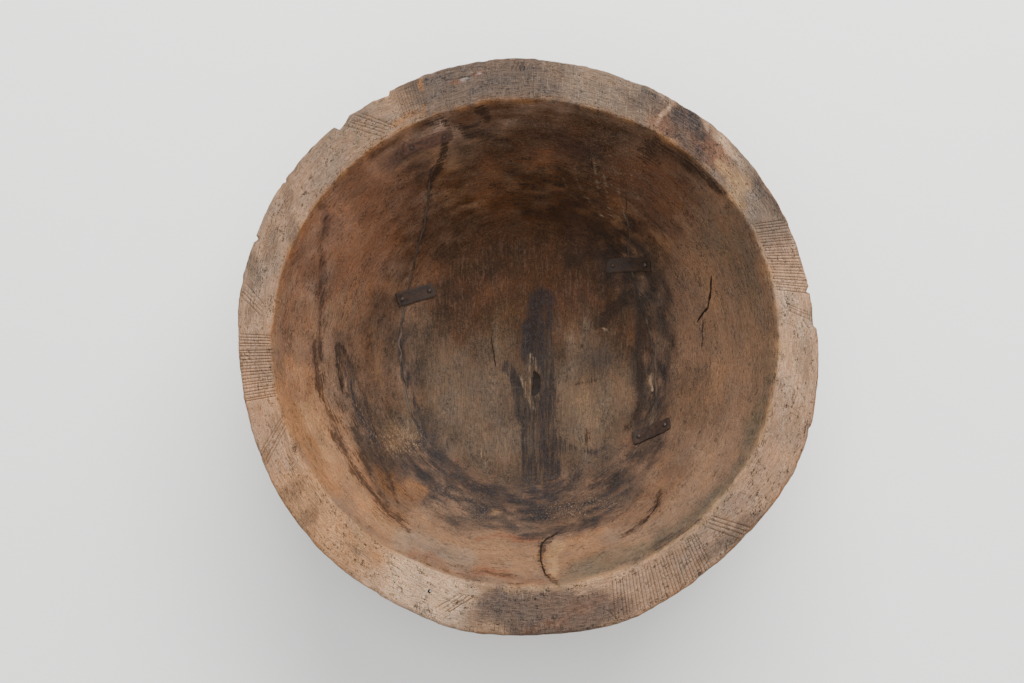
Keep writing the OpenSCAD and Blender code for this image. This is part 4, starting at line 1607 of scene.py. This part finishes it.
def pitch_material():
    s = Shader("old_pitch")
    lumps = s.noise((500, 260, 500), 4, 0.65)
    dust = s.noise((70, 40, 70), 5, 0.6)
    dusty = s.mix(lumps, (0.045, 0.029, 0.020), (0.080, 0.054, 0.038))
    colour = s.mix(s.step(dust, 0.40, 0.60), (0.022, 0.015, 0.011), dusty)
    rough = s.step(lumps, 0.3, 0.7, 0.55, 0.80)
    return s.finish(colour, rough, s.bump(lumps, 0.0006, 0.8), Specular_IOR_Level=0.3)


WOOD = wood_material()
STRAP_IRON = iron_material(
    "rusty_strap", (0.014, 0.009, 0.007), (0.056, 0.037, 0.028), (0.038, 0.019, 0.011), 0.55
)
RUSTY_IRON = iron_material(
    "very_rusty_strap", (0.066, 0.039, 0.030), (0.20, 0.13, 0.10), (0.135, 0.064, 0.043), 0.55
)
NAIL_IRON = iron_material(
    "worn_nail", (0.032, 0.024, 0.021), (0.14, 0.11, 0.09), (0.052, 0.030, 0.021), 0.40
)
PITCH = pitch_material()


def attach(obj, material, slot, *nodes):
    obj.data.materials.clear()
    obj.data.materials.append(material)
    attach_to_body(obj, "root")
    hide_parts(*nodes)


attach(bowl, WOOD, "wood", "bowl")
for name, strap in straps.items():
    attach(strap, RUSTY_IRON if name == "upper_left" else STRAP_IRON, "strap_iron", f"strap_{name}")
for name, nail in nails.items():
    attach(nail, NAIL_IRON, "nail_iron", f"nail_{name}")
for name, strip in pitch.items():
    attach(strip, PITCH, "pitch", name)

# ---------------------------------------------------------------- floor, light and camera

FLOOR_REACH = 4000


def build_floor():
    """A pale floor that reaches out of view on all sides."""
    corners = [
        (x * FLOOR_REACH, y * FLOOR_REACH, 0)
        for x, y in ((-1, -1), (1, -1), (1, 1), (-1, 1))
    ]
    floor = make_mesh("floor", corners, [(0, 1, 2, 3)])
    s = Shader("pale_floor")
    colour = s.mix(s.noise(3, 3, 0.5), (0.92, 0.915, 0.905), (0.95, 0.947, 0.94))
    floor.data.materials.append(s.finish(colour, 0.9, s.bump(s.noise(180, 4, 0.6), 0.0006, 0.3)))


def area_light(name, place, aim, size, power, colour):
    """A rectangular light at a place, in metres, that shines at aim."""
    light = bpy.data.lights.new(name, "AREA")
    light.shape = "RECTANGLE"
    light.size, light.size_y = size
    light.energy = power
    light.color = colour
    obj = bpy.data.objects.new(name, light)
    obj.location = place
    obj.rotation_euler = (Vector(aim) - Vector(place)).to_track_quat("-Z", "Y").to_euler()
    bpy.context.scene.collection.objects.link(obj)


build_floor()
area_light("sky", (0.45, 1.9, 1.55), (0, 0, 0.08), (2.6, 1.5), 152, (1.0, 0.985, 0.96))
area_light("front", (-0.2, -0.5, 2.6), (0, 0, 0.1), (2.2, 2.2), 38, (1.0, 0.985, 0.97))
world = bpy.data.worlds.new("studio")
world.use_nodes = True
world.node_tree.nodes["Background"].inputs["Color"].default_value = (1.0, 1.0, 1.0, 1)
world.node_tree.nodes["Background"].inputs["Strength"].default_value = 0.67
bpy.context.scene.world = world

camera = bpy.data.objects.new("camera", bpy.data.cameras.new("camera"))
camera.data.lens = 61.5
camera.data.clip_end = 50
aim = Vector((-0.0129, -0.0021, H * MM))
camera_height = math.radians(82)
camera_distance = 1.5
back = Vector((0, -math.cos(camera_height), math.sin(camera_height)))
camera.location = aim + back * camera_distance
camera.rotation_euler = (-back).to_track_quat("-Z", "Y").to_euler()
bpy.context.scene.collection.objects.link(camera)
bpy.context.scene.camera = camera
